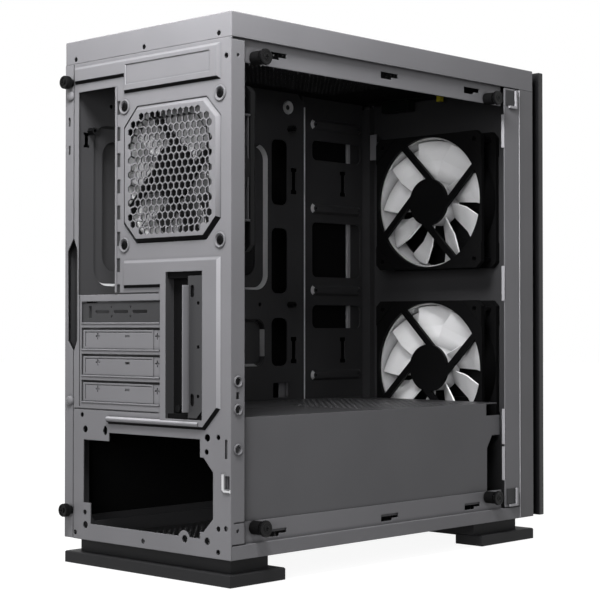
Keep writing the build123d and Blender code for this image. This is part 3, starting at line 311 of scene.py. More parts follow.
def welded_copy(node, name):
    """Copy of a node's mesh with its seams welded, ready to be cut."""
    source = nodes[node].data
    mesh = bpy.data.meshes.new(name)
    mesh.from_pydata([v.co for v in source.vertices], [], [p.vertices[:] for p in source.polygons])
    builder = bmesh.new()
    builder.from_mesh(mesh)
    bmesh.ops.remove_doubles(builder, verts=builder.verts, dist=0.002 * MM)
    builder.to_mesh(mesh)
    builder.free()
    piece = bpy.data.objects.new(name, mesh)
    bpy.context.scene.collection.objects.link(piece)
    return piece


def cut(piece, builder):
    """Take closed cutters out of a piece."""
    cutter = place_mesh(builder, "cutter")
    step = piece.modifiers.new("cut", "BOOLEAN")
    step.operation = "DIFFERENCE"
    step.solver = "EXACT"
    step.object = cutter
    graph = bpy.context.evaluated_depsgraph_get()
    result = bpy.data.meshes.new_from_object(piece.evaluated_get(graph))
    piece.modifiers.clear()
    piece.data = result
    bpy.data.objects.remove(cutter)


def split(piece, axis, place):
    """Cut the faces of a piece along a plane, so that each side can have its own painted shade."""
    builder = bmesh.new()
    builder.from_mesh(piece.data)
    everything = builder.verts[:] + builder.edges[:] + builder.faces[:]
    across = [1.0 if letter == axis else 0.0 for letter in "xyz"]
    bmesh.ops.bisect_plane(builder, geom=everything, plane_co=spot(axis, 0.0, 0.0, place), plane_no=across)
    builder.to_mesh(piece.data)
    builder.free()


def dress(piece, slot, base, *coats, body="chassis"):
    """Finish a piece in a base coat, with other coats on the faces whose middle and normal pass a test."""
    carry(piece, slot, base, *(coat for coat, test in coats), body=body)
    for face in piece.data.polygons:
        place = case_place(face.center)
        for number, (coat, test) in enumerate(coats, start=1):
            if test(*place, face.normal):
                face.material_index = number


# Rear panel with its cut-outs and pressings, the slot covers and the strip of the side panel

slot_pitch = 20.32
slot_low, slot_high = node_span("slot_cover_4", 2)
slot_middles = [(slot_low + slot_high) / 2 + slot_pitch * (3 - i) for i in range(4)]
slot_x = (-18.0, 73.0)
cover_gap_x = (slot_x[0] - 0.6, slot_x[1] + 0.6)
cover_gap_top = 8.4
break_reach, break_half = 2.4, 0.55
io_edge = 32.0
io_span = (211.5, 368.5)
contact_x = (27.4, 30.8)
contact_count = 8
contact_top, contact_pitch, contact_half = 352.3, 20.0, 5.3
contact_depth = 0.8
fan_middle = (-30.3, 299.83)
fan_screw_half = 52.5
fan_hole_places = [(fan_middle[0] + fan_screw_half * side, fan_middle[1] + fan_screw_half * level)
                   for side in (-1, 1) for level in (-1, 1)]
panel_hole = 1.9
panel_holes = [(72.6, 117.1), (80.9, 25.1), (0.3, 25.5), (-81.0, 25.0), (-81.2, 106.6),
               (-81.3, 41.6), (-89.1, 42.4), (-89.1, 378.4)]
supply_hole = 2.7
supply_holes = [(68.6, 106.1), (-69.8, 105.8), (68.3, 31.9), (-45.9, 31.5), (-69.7, 31.9)]
oval_place, oval_half, oval_narrow = (44.4, 106.0), 3.6, 0.62
latch_window = ((-92.6, -88.4), (70.6, 79.6))
lead_slit = ((-90.4, -88.0), (91.8, 105.2))
slot_grooves = (((-17.0, 82.4), (121.2, 122.2)), ((-17.0, 75.0), (210.2, 211.2)),
                ((75.6, 76.5), (123.4, 209.4)))
flange_y = rear - 6.8
flange_marks = (146.5, 126.6, 98.2)
flange_mark_hole = 2.5
flange_holes = (40.6, 379.0)
flange_hole = 1.3
flange_slots = (((flange_y - 1.6, flange_y + 1.6), (134.0, 139.0)), ((170.4, 180.8), (45.8, 46.9)))
arm_x, arm_z, arm_drop = (-22.0, 42.5), (116.8, 120.6), 3.6
clamp_x, clamp_z = (-66.6, -26.5), (117.6, 226.2)
strip_x = 83.6
label_z = 360.0
through_rear = (rear - 3.0, rear + 0.8)
groove_rear = (rear - 0.7, rear + 0.4)
through_flange = (near - 0.5, near + 1.5)


def ring_bead(builder, axis, u, v, face, outward, inner, outer, rise):
    """Pressed ring round a hole, standing out of a face."""
    top = face + outward * rise
    back = face - outward * 0.2
    profile = [(inner, back), (inner + 0.1, face), (outer - 1.1, top), (outer - 0.5, top - outward * 0.1),
               (outer, back)]
    turned(builder, profile, axis, u, v, closed=True)


def cut_rear_panel(piece):
    """Contact gaps, holes, windows and grooves of the rear panel, and the holes of its flange."""
    cutters = bmesh.new()
    for i in range(contact_count):
        level = contact_top - contact_pitch * i
        reach = (max(level - contact_half, io_span[0]), min(level + contact_half, io_span[1]))
        prism(cutters, box_points(contact_x, reach), "y", rear - contact_depth, rear + contact_depth)
    for x, z in panel_holes:
        prism(cutters, circle(x, z, panel_hole), "y", *through_rear)
    for x, z in supply_holes:
        prism(cutters, circle(x, z, supply_hole), "y", *through_rear)
    for window in (latch_window, lead_slit):
        prism(cutters, box_points(*window), "y", *through_rear)
    oval = [(oval_place[0] + oval_narrow * u, oval_place[1] + v) for u, v in circle(0.0, 0.0, oval_half)]
    prism(cutters, oval, "y", *through_rear)
    for groove in slot_grooves:
        prism(cutters, box_points(*groove), "y", *groove_rear)
    for z in flange_marks:
        prism(cutters, circle(flange_y, z, flange_mark_hole), "x", *through_flange)
    for z in flange_holes:
        prism(cutters, circle(flange_y, z, flange_hole), "x", *through_flange)
    for slot in flange_slots:
        prism(cutters, box_points(*slot), "x", *through_flange)
    cut(piece, cutters)


def build_rear_panel():
    """Rear panel with its arm lowered, its cut-outs, and painted highlights and painted shade on its bevels
    and hollows.
    """
    piece = welded_copy("rear_panel", "rear_panel_pressed")
    for vertex in piece.data.vertices:
        x, y, z = case_place(vertex.co)
        if within(x, arm_x) and y > rear - 2.0 and within(z, arm_z):
            vertex.co.z -= arm_drop * MM
    cut_rear_panel(piece)

    def bright_bevel(x, y, z, normal):
        return normal.y > 0.3 and normal.x < -0.6 and z < 240.0

    def dark_bevel(x, y, z, normal):
        return normal.y > 0.3 and normal.z < -0.3

    def hole_wall(x, y, z, normal):
        gap_floor = within(x, contact_x) and within(y, (rear - 0.9, rear - 0.7))
        return gap_floor or abs(normal.y) < 0.1 and within(y, (rear - 1.3, rear + 1.5)) and x > near + 2.0

    def behind_strip(x, y, z, normal):
        return x > strip_x

    def label_side(x, y, z, normal):
        return y > rear + 1.2 and z > label_z and abs(normal.y) < 0.1

    def label_shade(x, y, z, normal):
        return label_side(x, y, z, normal) and normal.z < -0.5

    def label_edge(x, y, z, normal):
        return label_side(x, y, z, normal) and normal.x < -0.5

    def in_clamp_recess(x, y, z):
        return within(x, clamp_x) and within(z, clamp_z) and y < rear + 2.0

    def trough(x, y, z, normal):
        return in_clamp_recess(x, y, z) and normal.x > -0.5

    def trough_wall(x, y, z, normal):
        return in_clamp_recess(x, y, z) and normal.x < -0.5

    # Painted highlights on lit bevels and the label field's side edge; painted shade on downward bevels,
    # hole walls, behind the side strip, under the label field and in the clamp recess.
    dress(piece, "graphite_steel", graphite,
          (highlight_coat, bright_bevel), (black_and_shade_coat, dark_bevel),
          (shaded_coat, hole_wall), (black_and_shade_coat, behind_strip),
          (black_and_shade_coat, label_shade), (highlight_coat, label_edge),
          (black_and_shade_coat, trough), (shaded_coat, trough_wall))
    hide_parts("rear_panel")


def build_vent():
    """Honeycomb whose middle is sunk in its frame, with painted shade on its downward faces and the walls of
    its cells.
    """
    sink = 2.0
    half_wide, half_high, half_corner = 42.0, 41.0, 68.0
    piece = welded_copy("rear_vent_grille", "rear_vent_grille_sunk")
    for vertex in piece.data.vertices:
        x, y, z = case_place(vertex.co)
        aside, above = abs(x - fan_middle[0]), abs(z - fan_middle[1])
        if y > rear + 1.0 and aside < half_wide and above < half_high and aside + above < half_corner:
            vertex.co.y -= sink * MM
    dress(piece, "graphite_steel", graphite,
          (black_and_shade_coat, lambda x, y, z, normal: normal.y > 0.3 and normal.z < -0.25),
          (shaded_coat, lambda x, y, z, normal: abs(normal.y) < 0.2 and y < rear + 2.0))
    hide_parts("rear_vent_grille")


def build_rear_pressings():
    """Rolled edge of the connector opening, pressed rings and beads at the slot edges."""
    slot_bead, slot_bead_below = 0.8, 8.9
    builder = bmesh.new()
    prism(builder, half_round(io_edge, rear - 0.1, 1.1), "z", *io_span)
    for x, z in fan_hole_places:
        ring_bead(builder, "y", x, z, rear, 1, inner=3.5, outer=6.0, rise=1.0)
    for z in flange_marks:
        ring_bead(builder, "x", flange_y, z, near, -1, inner=2.6, outer=4.4, rise=1.1)
    for middle_z in slot_middles:
        edge = half_round(rear - 0.2, middle_z - slot_bead_below, slot_bead, -math.pi / 2)
        prism(builder, edge, "x", *slot_x)
    carry(place_mesh(builder, "rear_pressings"), "graphite_steel")


def build_arm_bead():
    """Bead along the arm under the slots, with a painted highlight on top and painted shade below."""
    arm_bead, arm_bead_z = 2.2, 114.9
    arm = bmesh.new()
    prism(arm, half_round(rear + 0.9, arm_bead_z, arm_bead, -math.pi / 2), "x", -62.0, 41.0)
    dress(place_mesh(arm, "boss_arm_bead"), "graphite_steel", graphite,
          (highlight_coat, lambda x, y, z, normal: normal.z > 0.4),
          (black_and_shade_coat, lambda x, y, z, normal: normal.z < -0.75))


def build_latch_lip():
    """Bright lip round two sides of the latch window."""
    outer = [(-84.0, 81.0), (-85.2, 81.8), (-88.2, 81.8), (-88.2, 70.4), (-93.6, 70.4), (-93.6, 67.4),
             (-87.0, 67.4), (-84.0, 69.4)]
    inner = [(-85.6, 80.4), (-86.0, 80.8), (-87.8, 80.8), (-87.8, 69.6), (-93.0, 69.6), (-93.0, 68.2),
             (-87.4, 68.2), (-85.6, 70.2)]
    window = bmesh.new()
    levels = ((outer, rear - 0.2), (inner, rear + 1.2))
    skin(window, [[window.verts.new(spot("y", x, z, y)) for x, z in points] for points, y in levels])
    carry(place_mesh(window, "latch_window_lip"), "steel")


def build_side_strip():
    """Side panel with the slots and bumps of its rear strip, and painted shade on its inside, near black
    below the shroud's top and towards the front.
    """
    slot_half = 3.4
    inside_front = -154.0
    tray_strip_y = -25.0
    bump_x = 87.4
    piece = welded_copy("right_side_panel", "right_side_panel_cut")
    cutters = bmesh.new()
    for z in (346.8, 324.7):
        prism(cutters, box_points((88.2, 90.4), (z - slot_half, z + slot_half)), "y", rear - 2.0, rear + 0.5)
    prism(cutters, box_points((83.0, 84.1), (floor_z - 1.0, cover_z + 1.0)), "y", rear - 1.6, rear + 0.5)
    cut(piece, cutters)
    split(piece, "z", shroud_z)
    split(piece, "y", tray_strip_y)

    def inside(x, y, z, normal):
        return x < far - 0.8 and within(y, (inside_front, rear - 0.5))

    def unlit_inside(x, y, z, normal):
        return inside(x, y, z, normal) and (z < shroud_z or y < tray_strip_y)

    dress(piece, "graphite_steel", graphite, (shade_and_light_grey, inside), (black_and_shade_coat, unlit_inside),
          body="right_side_panel")
    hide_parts("right_side_panel")
    bumps = bmesh.new()
    profile = [(4.0, rear - 0.2), (3.8, rear + 0.9), (3.0, rear + 1.9), (1.4, rear + 2.4)]
    for z in (367.0, 127.8):
        turned(bumps, profile, "y", bump_x, z)
    carry(place_mesh(bumps, "side_strip_bumps"), "graphite_steel", body="right_side_panel")


def cut_vented_cover(cutters, middle_z):
    """Gap over the first slot cover, its end slot and its small holes."""
    through = (rear - 3.0, rear)
    prism(cutters, box_points(cover_gap_x, (middle_z + 6.8, middle_z + cover_gap_top)), "y", *through)
    prism(cutters, box_points((62.5, 66.0), (middle_z - 4.6, middle_z + 4.6)), "y", *through)
    for x in (38.5, 16.5):
        for side in (-1, 1):
            prism(cutters, circle(x, middle_z + 3.6 * side, 0.8, 10), "y", *through)


def cut_plain_cover(cutters, middle_z, dash_depth):
    """Gap round two sides of a slot cover, and its break-out marks."""
    top = rear + 0.2
    groove = (rear - 0.9, top)
    mark_z = middle_z + 1.7
    gap = angle_points((cover_gap_x[1], cover_gap_top), (72.0, 6.4), (cover_gap_x[0], -8.3))
    prism(cutters, [(x, middle_z + z) for x, z in gap], "y", rear - 3.0, top)
    corner = angle_points((69.6, 5.0), (68.8, 4.4), (-9.0, -6.3))
    prism(cutters, [(x, middle_z + z) for x, z in corner], "y", *groove)
    prism(cutters, cross_points(54.2, mark_z, break_reach, break_half), "y", *groove)
    prism(cutters, cross_points(-14.4, mark_z, break_reach, break_half), "y", rear - 1.7, top)
    prism(cutters, box_points((16.7, 21.7), (middle_z + 0.7, middle_z + 2.3)), "y", rear - dash_depth, top)


def build_slot_covers():
    """Covers with their break-out marks; the first is vented."""
    for i, middle_z in enumerate(slot_middles):
        node = f"slot_cover_{i + 1}"
        piece = welded_copy(node, node + "_marked")
        cutters = bmesh.new()
        if i == 0:
            cut_vented_cover(cutters, middle_z)
        else:
            cut_plain_cover(cutters, middle_z, dash_depth=3.0 if i == 2 else 0.9)
        cut(piece, cutters)
        carry(piece, "graphite_steel", graphite if i else shaded_coat)
        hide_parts(node)


def build_slot_clamp():
    """Clamp with painted shade on its flat part, which its grip flange shades, and on its walls."""
    piece = welded_copy("slot_clamp", "slot_clamp_shaded")
    dress(piece, "graphite_steel", graphite,
          (shaded_coat, lambda x, y, z, normal: normal.y > 0.5 and y < rear + 2.0),
          (black_and_shade_coat, lambda x, y, z, normal: abs(normal.y) < 0.1 and y < rear + 1.5))
    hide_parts("slot_clamp")


# Screws

recess_reach, recess_half = 1.7, 0.4
shank_radius = 1.45


def knurled_head(builder, axis, u, v, seat, outward, radius, height, ridges=32):
    """Thumbscrew head on a narrower neck, with ridges round its rim."""
    def ring(size, part, ridge=0.0):
        points = []
        for i in range(2 * ridges):
            t = math.pi * i / ridges
            r = size - (ridge if i % 2 else 0.0)
            place = spot(axis, u + r * math.cos(t), v + r * math.sin(t), seat + outward * part * height)
            points.append(builder.verts.new(place))
        return points

    chamfer, groove = 0.5, 0.3
    neck = [ring(0.62 * radius, 0.0), ring(0.62 * radius, 0.3)]
    rim = [ring(radius - chamfer, 0.34), ring(radius, 0.42, groove),
           ring(radius, 0.84, groove), ring(radius - chamfer, 0.93)]
    face = [ring(0.72 * radius, 0.94), ring(0.66 * radius, 0.86),
            ring(0.4 * radius, 0.86), ring(0.34 * radius, 1.0)]
    skin(builder, neck + rim + face)


def build_thumbscrew(node, axis, outward, seat, end, radius, shank):
    """Knurled head with a cross recess, on a shank that reaches in from its seat."""
    u = sum(node_span(node, 1 if axis == "x" else 0)) / 2
    v = sum(node_span(node, 2)) / 2
    builder = bmesh.new()
    knurled_head(builder, axis, u, v, seat, outward, radius, abs(end - seat))
    shank_ends = (seat - outward * shank, seat + outward * 0.1)
    turned(builder, [(shank_radius, place) for place in shank_ends], axis, u, v)
    piece = place_mesh(builder, node + "_knurled")
    cutters = bmesh.new()
    recess = cross_points(u, v, recess_reach, recess_half)
    prism(cutters, recess, axis, end - outward * 1.0, end + outward * 0.5)
    cut(piece, cutters)
    carry(piece, "black_screw", body=node)
    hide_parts(node)


def build_thumbscrews():
    for level in ("upper", "lower"):
        node = "side_thumbscrew_" + level
        build_thumbscrew(node, "y", 1, rear + 0.2, node_span(node, 1)[1], radius=5.2, shank=7.2)
    for corner in ("top_rear", "top_front", "bottom_rear", "bottom_front"):
        node = "glass_thumbscrew_" + corner
        end = node_span(node, 0)[0]
        build_thumbscrew(node, "x", -1, end + 4.0, end, radius=6.0, shank=7.5)


def build_fan_screws():
    """Domed heads with a cross recess over the rear fan's four holes."""
    profile = [(2.0, rear - 9.0), (2.0, rear + 0.05), (3.3, rear + 0.05), (3.3, rear + 0.3),
               (2.7, rear + 0.7), (1.8, rear + 0.9), (0.8, rear + 1.0)]
    builder = bmesh.new()
    cutters = bmesh.new()
    for x, z in fan_hole_places:
        turned(builder, profile, "y", x, z)
        prism(cutters, cross_points(x, z, recess_reach, recess_half), "y", rear + 0.2, rear + 1.4)
    piece = place_mesh(builder, "rear_fan_screw_heads")
    cut(piece, cutters)
    carry(piece, "black_screw", black_and_shade_coat)
    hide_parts("rear_fan_screws")


# Perforated fields in the roof, the shroud and the floor, and painted shade on the insides of sheets

inside_of = {
    "psu_shroud": lambda x, y, z, normal: abs(normal.z) > 0.5,
    "bottom_panel": lambda x, y, z, normal: z > floor_z + 0.5 and x > near + 6.0,
    "top_panel": lambda x, y, z, normal: x > near + 5.5,
    "front_frame": lambda x, y, z, normal: x > near + 1.2,
}


def perforated(builder, u, v, w, pitch, radius, axis="z", sides=8):
    """Sheet between two levels with a square grid of holes."""
    columns = round((u[1] - u[0]) / pitch)
    rows = round((v[1] - v[0]) / pitch)
    step_u = (u[1] - u[0]) / columns
    step_v = (v[1] - v[0]) / rows
    corner = {}

    def vertex(a, b, level):
        key = (a, b, level)
        if key not in corner:
            place = spot(axis, u[0] + a * step_u / 2, v[0] + b * step_v / 2, w[level])
            corner[key] = builder.verts.new(place)
        return corner[key]

    around = ((2, 1), (2, 2), (1, 2), (0, 2), (0, 1), (0, 0), (1, 0), (2, 0))
    for i in range(columns):
        for j in range(rows):
            rims = []
            for level in (0, 1):
                hole = circle(u[0] + (i + 0.5) * step_u, v[0] + (j + 0.5) * step_v, radius, sides)
                inner = [builder.verts.new(spot(axis, a, b, w[level])) for a, b in hole]
                outer = [vertex(2 * i + a, 2 * j + b, level) for a, b in around]
                for k in range(sides):
                    builder.faces.new((outer[k - 1], outer[k], inner[k], inner[k - 1]))
                rims.append(inner)
            for k in range(sides):
                builder.faces.new((rims[0][k - 1], rims[0][k], rims[1][k], rims[1][k - 1]))
    for a in range(2 * columns):
        for b in (0, 2 * rows):
            builder.faces.new((vertex(a, b, 0), vertex(a + 1, b, 0), vertex(a + 1, b, 1), vertex(a, b, 1)))
    for b in range(2 * rows):
        for a in (0, 2 * columns):
            builder.faces.new((vertex(a, b, 0), vertex(a, b + 1, 0), vertex(a, b + 1, 1), vertex(a, b, 1)))


def build_perforation(node, u, v, w, pitch, radius, outside, inside, wall):
    """Round-holed field set into a window of a sheet, with painted shade on the sheet's inside and on the
    field.
    """
    piece = welded_copy(node, node + "_open")
    cutters = bmesh.new()
    prism(cutters, box_points(u, v), "z", w[0] - 1.5, w[1] + 1.5)
    cut(piece, cutters)
    dress(piece, "graphite_steel", outside, (inside, inside_of[node]))
    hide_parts(node)
    field = bmesh.new()
    perforated(field, u, v, w, pitch, radius)
    dress(place_mesh(field, node + "_field"), "graphite_steel", inside,
          (wall, lambda x, y, z, normal: abs(normal.z) < 0.3))


def build_perforations():
    roof_z = node_span("top_panel", 2)[1]
    build_perforation("psu_shroud", (-78.0, 76.0), (-118.0, 22.0), (shroud_z - 0.5, shroud_z),
                      pitch=7.0, radius=2.2, outside=shroud_shade_coat, inside=shade_and_light_grey, wall=shroud_shade_coat)
    build_perforation("bottom_panel", (-66.0, 66.0), (44.0, 164.0), (floor_z + 0.6, floor_z + 1.0),
                      pitch=6.0, radius=1.7, outside=graphite, inside=shade_and_light_grey, wall=shade_and_light_grey)
    build_perforation("top_panel", (-68.0, 64.0), (-92.0, 124.0), (roof_z - 1.0, roof_z - 0.6),
                      pitch=4.8, radius=1.5, outside=graphite, inside=black_and_shade_coat, wall=black_and_shade_coat)


def build_front_frame():
    """Front sheet with painted shade on its inside, darker than its outer edge."""
    piece = welded_copy("front_frame", "front_frame_shaded_inside")
    dress(piece, "graphite_steel", graphite, (shade_and_light_grey, inside_of["front_frame"]))
    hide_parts("front_frame")


# Small forms inside the open side

tie_slot_side = [(4.0, -11.8), (4.0, -8.6), (2.5, -7.6), (2.5, 7.6), (4.0, 8.6), (4.0, 11.8)]
tie_slot = tie_slot_side + [(-a, -b) for a, b in tie_slot_side]
panel_x = node_span("cable_panel", 0)[1] - sheet
rib_levels = (371.0, 294.0, 219.0, 141.5)
tray_end = node_span("motherboard_tray", 1)[0]
tray_top = 384.0


def tie_slot_points(y, z, wide=1.0, high=1.0):
    """Outline of a slot for a cable tie, waisted in the middle."""
    return [(y + wide * a, z + high * b) for a, b in tie_slot]


def block_piece(name, slot, material, *blocks, body="chassis"):
    """Piece made of closed prisms, each given as outline, axis, start and end."""
    builder = bmesh.new()
    for block in blocks:
        prism(builder, *block)
    carry(place_mesh(builder, name), slot, material, body=body)


def build_tray():
    """Tray with its pressings sunk instead of raised, tie slots, spare holes and a cut corner, in painted
    shade with painted highlights on its lit bevels.
    """
    sink = 6.0
    through = (tray_x - 4.0, tray_x + 2.0)
    piece = welded_copy("motherboard_tray", "motherboard_tray_cut")
    for vertex in piece.data.vertices:
        if case_place(vertex.co)[0] < tray_x - 0.01:
            vertex.co.x += sink * MM
    cutters = bmesh.new()
    for z in (316.4, 164.7):
        prism(cutters, tie_slot_points(-62.5, z), "x", *through)
    prism(cutters, tie_slot_points(174.1, 332.7, 0.75, 0.5), "x", *through)
    for y, z in ((-19.3, 205.0), (149.0, 361.8)):
        prism(cutters, circle(y, z, 1.7), "x", *through)
    outside, above = tray_end - 1.0, tray_top + 12.5
    prism(cutters, [(outside, tray_top), (tray_end + 11.0, above), (outside, above)], "x", *through)
    cut(piece, cutters)

    def lit_bevel(x, y, z, normal):
        return normal.x < -0.3 and (normal.y > 0.3 or normal.z > 0.3)

    dress(piece, "dark_steel", shade_and_light_grey, (inside_glint_coat, lit_bevel))
    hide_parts("motherboard_tray")


def build_tray_fittings():
    """Stud foot, fold bead, pressed boss and latch of the tray; the fold bead and the boss are light grey as
    painted highlights, the foot dark grey as painted shade.
    """
    stud = circle(15.7, 159.4, 3.2, 6)
    block_piece("tray_stud_foot", "dark_steel", shade_and_light_grey, (stud, "x", tray_x - 2.0, tray_x + 4.0))
    fold = half_round(tray_x + 0.1, tray_end + 0.8, 0.8, math.pi / 2)
    block_piece("tray_fold", "dark_steel", inside_glint_coat, (fold, "z", shroud_z + 0.2, tray_top))
    boss = bmesh.new()
    ring_bead(boss, "x", -54.5, 381.8, tray_x, -1, inner=2.2, outer=6.2, rise=1.6)
    carry(place_mesh(boss, "tray_boss"), "dark_steel", inside_glint_coat)
    latch_front, latch_z = -57.0, (121.0, 136.0)
    block_piece("tray_latch", "graphite_steel", graphite,
                (box_points((latch_front, -46.5), latch_z), "x", tray_x + 3.0, tray_x + 4.0),
                (box_points((latch_front, -54.6), latch_z), "x", tray_x + 0.9, tray_x + 3.1))


def build_cable_panel():
    """Ribbed panel with its tie slots and the holes at the ends of its ribs, in painted shade with painted
    highlights on its lit bevels.
    """
    through = (panel_x - 4.0, panel_x + 2.0)
    piece = welded_copy("cable_panel", "cable_panel_cut")
    cutters = bmesh.new()
    for z in (318.9, 163.9):
        prism(cutters, tie_slot_points(-135.0, z), "x", *through)
    for z in rib_levels:
        for y in (-96.6, -154.6):
            prism(cutters, circle(y, z, 1.5, 14), "x", *through)
    cut(piece, cutters)
    dress(piece, "dark_steel", shade_and_light_grey,
          (inside_glint_coat, lambda x, y, z, normal: normal.x < -0.3 and normal.y > 0.3))
    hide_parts("cable_panel")


def build_side_hem():
    """Two folded strips on the inside of the side panel, seen past the cable panel, drawn light as painted
    highlights.
    """
    hem_x = (90.6, far - 0.9)
    hem_top = 380.0
    block_piece("side_panel_hem", "graphite_steel", highlight_coat,
                (box_points(hem_x, (-152.4, -146.9)), "z", shroud_z, hem_top),
                (box_points(hem_x, (-165.8, -158.0)), "z", shroud_z, hem_top), body="right_side_panel")


def build_front_column():
    """Lips, corner rims and seam of the front column, and the plates inside its rims; the lips, rims and
    seam are light as painted highlights, the plates dark as painted shade.
    """
    column_back = -142.2
    plate_end = -144.2
    lip_x = (near, near + 3.2)
    rim_x = (near - 2.2, near + 0.2)
    plate_x = (near - 0.5, near + 0.2)
    lips = [(box_points(lip_x, lip_z), "y", column_back - 0.6, column_back + 0.4)
            for lip_z in ((339.6, 368.0), (207.8, 237.7), (85.0, 115.2), (54.2, 83.0))]
    rims = [(angle_points((-158.2, 374.0), (-156.2, 376.0), (-147.6, 389.4)), "x", *rim_x),
            (angle_points((-158.4, 31.4), (-156.4, 33.2), (-147.6, 46.6)), "x", *rim_x)]
    seam = (half_round(near + 0.1, -163.8, 0.7, math.pi / 2), "z", 21.0, 390.6)
    block_piece("front_column_lips", "graphite_steel", highlight_coat, *lips, *rims, seam)
    block_piece("front_column_bracket", "graphite_steel", shaded_coat,
                (box_points((-156.1, plate_end), (376.1, 389.4)), "x", *plate_x),
                (box_points((-156.3, plate_end), (33.3, 46.6)), "x", *plate_x))


def build_front_fittings():
    """Flat part of the shroud, the front fan's lead clip and the plug under the socket board."""
    flat = [(-10.0, 92.0), (20.0, -13.0), (41.0, -30.0), (76.0, -30.0), (76.0, 170.0), (-10.0, 170.0)]
    block_piece("shroud_flat", "graphite_steel", shaded_coat, (flat, "z", shroud_z - 0.2, shroud_z + 0.1))
    clip_far, clip_y = 61.6, -146.6
    block_piece("fan_lead_clip", "graphite_steel", graphite,
                (box_points((clip_far - 7.6, clip_far), (340.0, 363.6)), "y", clip_y, clip_y + 1.0),
                (box_points((clip_far - 1.0, clip_far), (346.0, 358.0)), "y", clip_y - 23.2, clip_y))
    board_under = node_span("front_io_board", 2)[1] - 1.6
    block_piece("socket_board_plug", "black_plastic", yellow_plug,
                (box_points((-16.0, -11.0), (-157.0, -153.0)), "z", board_under - 5.0, board_under))


def build_fan_side():
    """Ribs of the rear fan's open side, drawn dark grey instead of their black as painted light."""
    side = node_span("rear_fan_frame", 0)[0]
    back = node_span("rear_fan_frame", 1)[0]
    low, high, half = 262.0, 338.0, 0.7
    ends = [(box_points((side, side + 6.0), (back + 3.0, back + 22.0)), "z", z - half, z + half)
            for z in (low, high)]
    ribs = [(box_points((side + 0.6, side + 5.0), (back + y, back + y + 1.2)), "z", low + half, high - half)
            for y in (5.0, 9.0, 13.0)]
    block_piece("rear_fan_side_ribs", "black_plastic", shade_and_light_grey, *ends, *ribs)


def build_top_cover():
    """Cover with three holes in its rear edge, and near-black discs behind them as painted shade."""
    hole_z = cover_z + 3.5
    hole_places = (-81.3, 0.0, 81.3)
    piece = welded_copy("top_cover", "top_cover_drilled")
    cutters = bmesh.new()
    for x in hole_places:
        prism(cutters, circle(x, hole_z, 1.9, 14), "y", rear - 4.0, rear + 0.5)
    cut(piece, cutters)
    carry(piece, "graphite_steel")
    backs = [(circle(x, hole_z, 2.0, 14), "y", rear - 1.4, rear - 0.4) for x in hole_places]
    block_piece("cover_hole_shade_discs", "graphite_steel", black_and_shade_coat, *backs)
    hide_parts("top_cover")


build_rear_panel()
build_vent()
build_rear_pressings()
build_arm_bead()
build_latch_lip()
build_side_strip()
build_slot_covers()
build_slot_clamp()
build_thumbscrews()
build_fan_screws()
build_perforations()
build_front_frame()
build_tray()
build_tray_fittings()
build_cable_panel()
build_side_hem()
build_front_column()
build_front_fittings()
build_fan_side()
build_top_cover()


# Stage, light and camera

floor_size = 12.0
floor_tone, floor_glow = 0.2, 0.92
world_strength = 0.06
camera_lens = 94.3
camera_place = (-0.8893, 0.9597, 0.1849)
camera_sight = (0.688, -0.7254, 0.0175)


def looked_at(tree):
    """One for rays that look at a surface directly, in a reflection or through glass, else zero."""
    path = tree.nodes.new("ShaderNodeLightPath")
    result = path.outputs["Is Camera Ray"]
    for ray in ("Is Glossy Ray", "Is Transmission Ray"):
        larger = tree.nodes.new("ShaderNodeMath")
        larger.operation = "MAXIMUM"
        tree.links.new(result, larger.inputs[0])
        tree.links.new(path.outputs[ray], larger.inputs[1])
        result = larger.outputs["Value"]
    return result


def floor_material():
    """Grey floor that glows white where it is looked at, with the object's shadow kept."""
    material, tree, shader = new_material("stage_white")
    shader.inputs["Base Color"].default_value = (floor_tone, floor_tone, floor_tone, 1.0)
    shader.inputs["Roughness"].default_value = 0.9
    glow = tree.nodes.new("ShaderNodeMath")
    glow.operation = "MULTIPLY"
    glow.inputs[1].default_value = floor_glow
    tree.links.new(looked_at(tree), glow.inputs[0])
    shader.inputs["Emission Color"].default_value = (1.0, 1.0, 1.0, 1.0)
    tree.links.new(glow.outputs["Value"], shader.inputs["Emission Strength"])
    return material


def build_floor():
    half = floor_size / 2
    mesh = bpy.data.meshes.new("floor")
    corners = [(-half, -half, 0), (half, -half, 0), (half, half, 0), (-half, half, 0)]
    mesh.from_pydata(corners, [], [(0, 1, 2, 3)])
    floor = bpy.data.objects.new("floor", mesh)
    bpy.context.scene.collection.objects.link(floor)
    mesh.materials.append(floor_material())


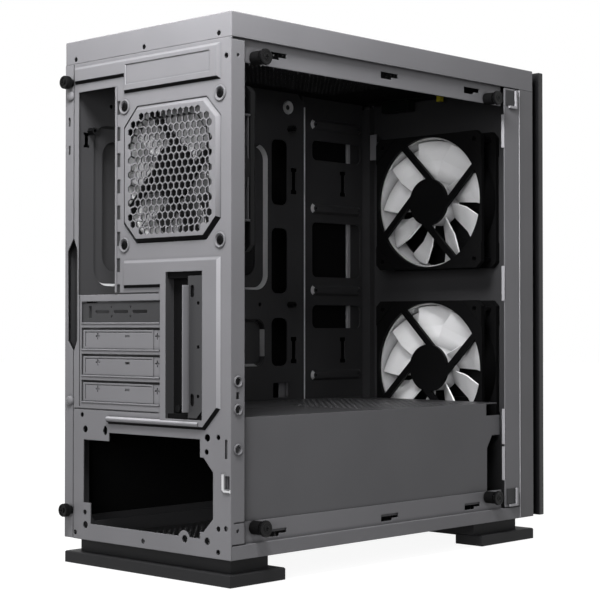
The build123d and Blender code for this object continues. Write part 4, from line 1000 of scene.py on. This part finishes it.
def build_world():
    """White surround where it is looked at, and a soft even light for everything else."""
    world = bpy.data.worlds.new("surround")
    bpy.context.scene.world = world
    world.use_nodes = True
    tree = world.node_tree
    back = tree.nodes["Background"]
    back.inputs["Color"].default_value = (1.0, 1.0, 1.0, 1.0)
    level = tree.nodes.new("ShaderNodeMapRange")
    level.inputs["To Min"].default_value = world_strength
    level.inputs["To Max"].default_value = 1.0
    tree.links.new(looked_at(tree), level.inputs["Value"])
    tree.links.new(level.outputs["Result"], back.inputs["Strength"])


def aim(holder, place, direction):
    """Put a lamp or camera at a place, looking along a direction."""
    bpy.context.scene.collection.objects.link(holder)
    holder.location = place
    holder.rotation_euler = direction.to_track_quat("-Z", "Y").to_euler()


def area_light(name, place, target, size, power):
    """Square lamp that lights the object without a mirror image of itself."""
    lamp = bpy.data.lights.new(name, "AREA")
    lamp.shape = "SQUARE"
    lamp.size = size
    lamp.energy = power
    holder = bpy.data.objects.new(name, lamp)
    aim(holder, place, Vector(target) - Vector(place))
    holder.visible_glossy = False


def build_camera():
    lens = bpy.data.cameras.new("camera")
    lens.sensor_width = 36.0
    lens.lens = camera_lens
    lens.clip_start = 0.01
    lens.clip_end = 50.0
    camera = bpy.data.objects.new("camera", lens)
    aim(camera, camera_place, Vector(camera_sight))
    bpy.context.scene.camera = camera


build_floor()
build_world()
area_light("rear_softbox", (-0.22, 0.42, 0.75), (0.0, 0.12, 0.55), 0.26, 8.8)
area_light("far_rear_softbox", (0.3, 0.6, 0.95), (0.0, 0.15, 0.35), 0.4, 3.0)
area_light("side_softbox", (-0.78, 1.38, 0.45), (0.0, -0.05, 0.2), 0.6, 11.5)
area_light("front_softbox", (-0.7, -0.35, 0.8), (-0.09, -0.1, 0.4), 0.4, 0.8)
area_light("top_softbox", (0.0, 0.0, 2.4), (0.0, 0.0, 0.0), 1.6, 2.2)
area_light("far_softbox", (1.5, -1.0, 0.9), (0.0, 0.0, 0.2), 1.2, 8.5)
build_camera()
bpy.context.scene.view_settings.view_transform = "Standard"
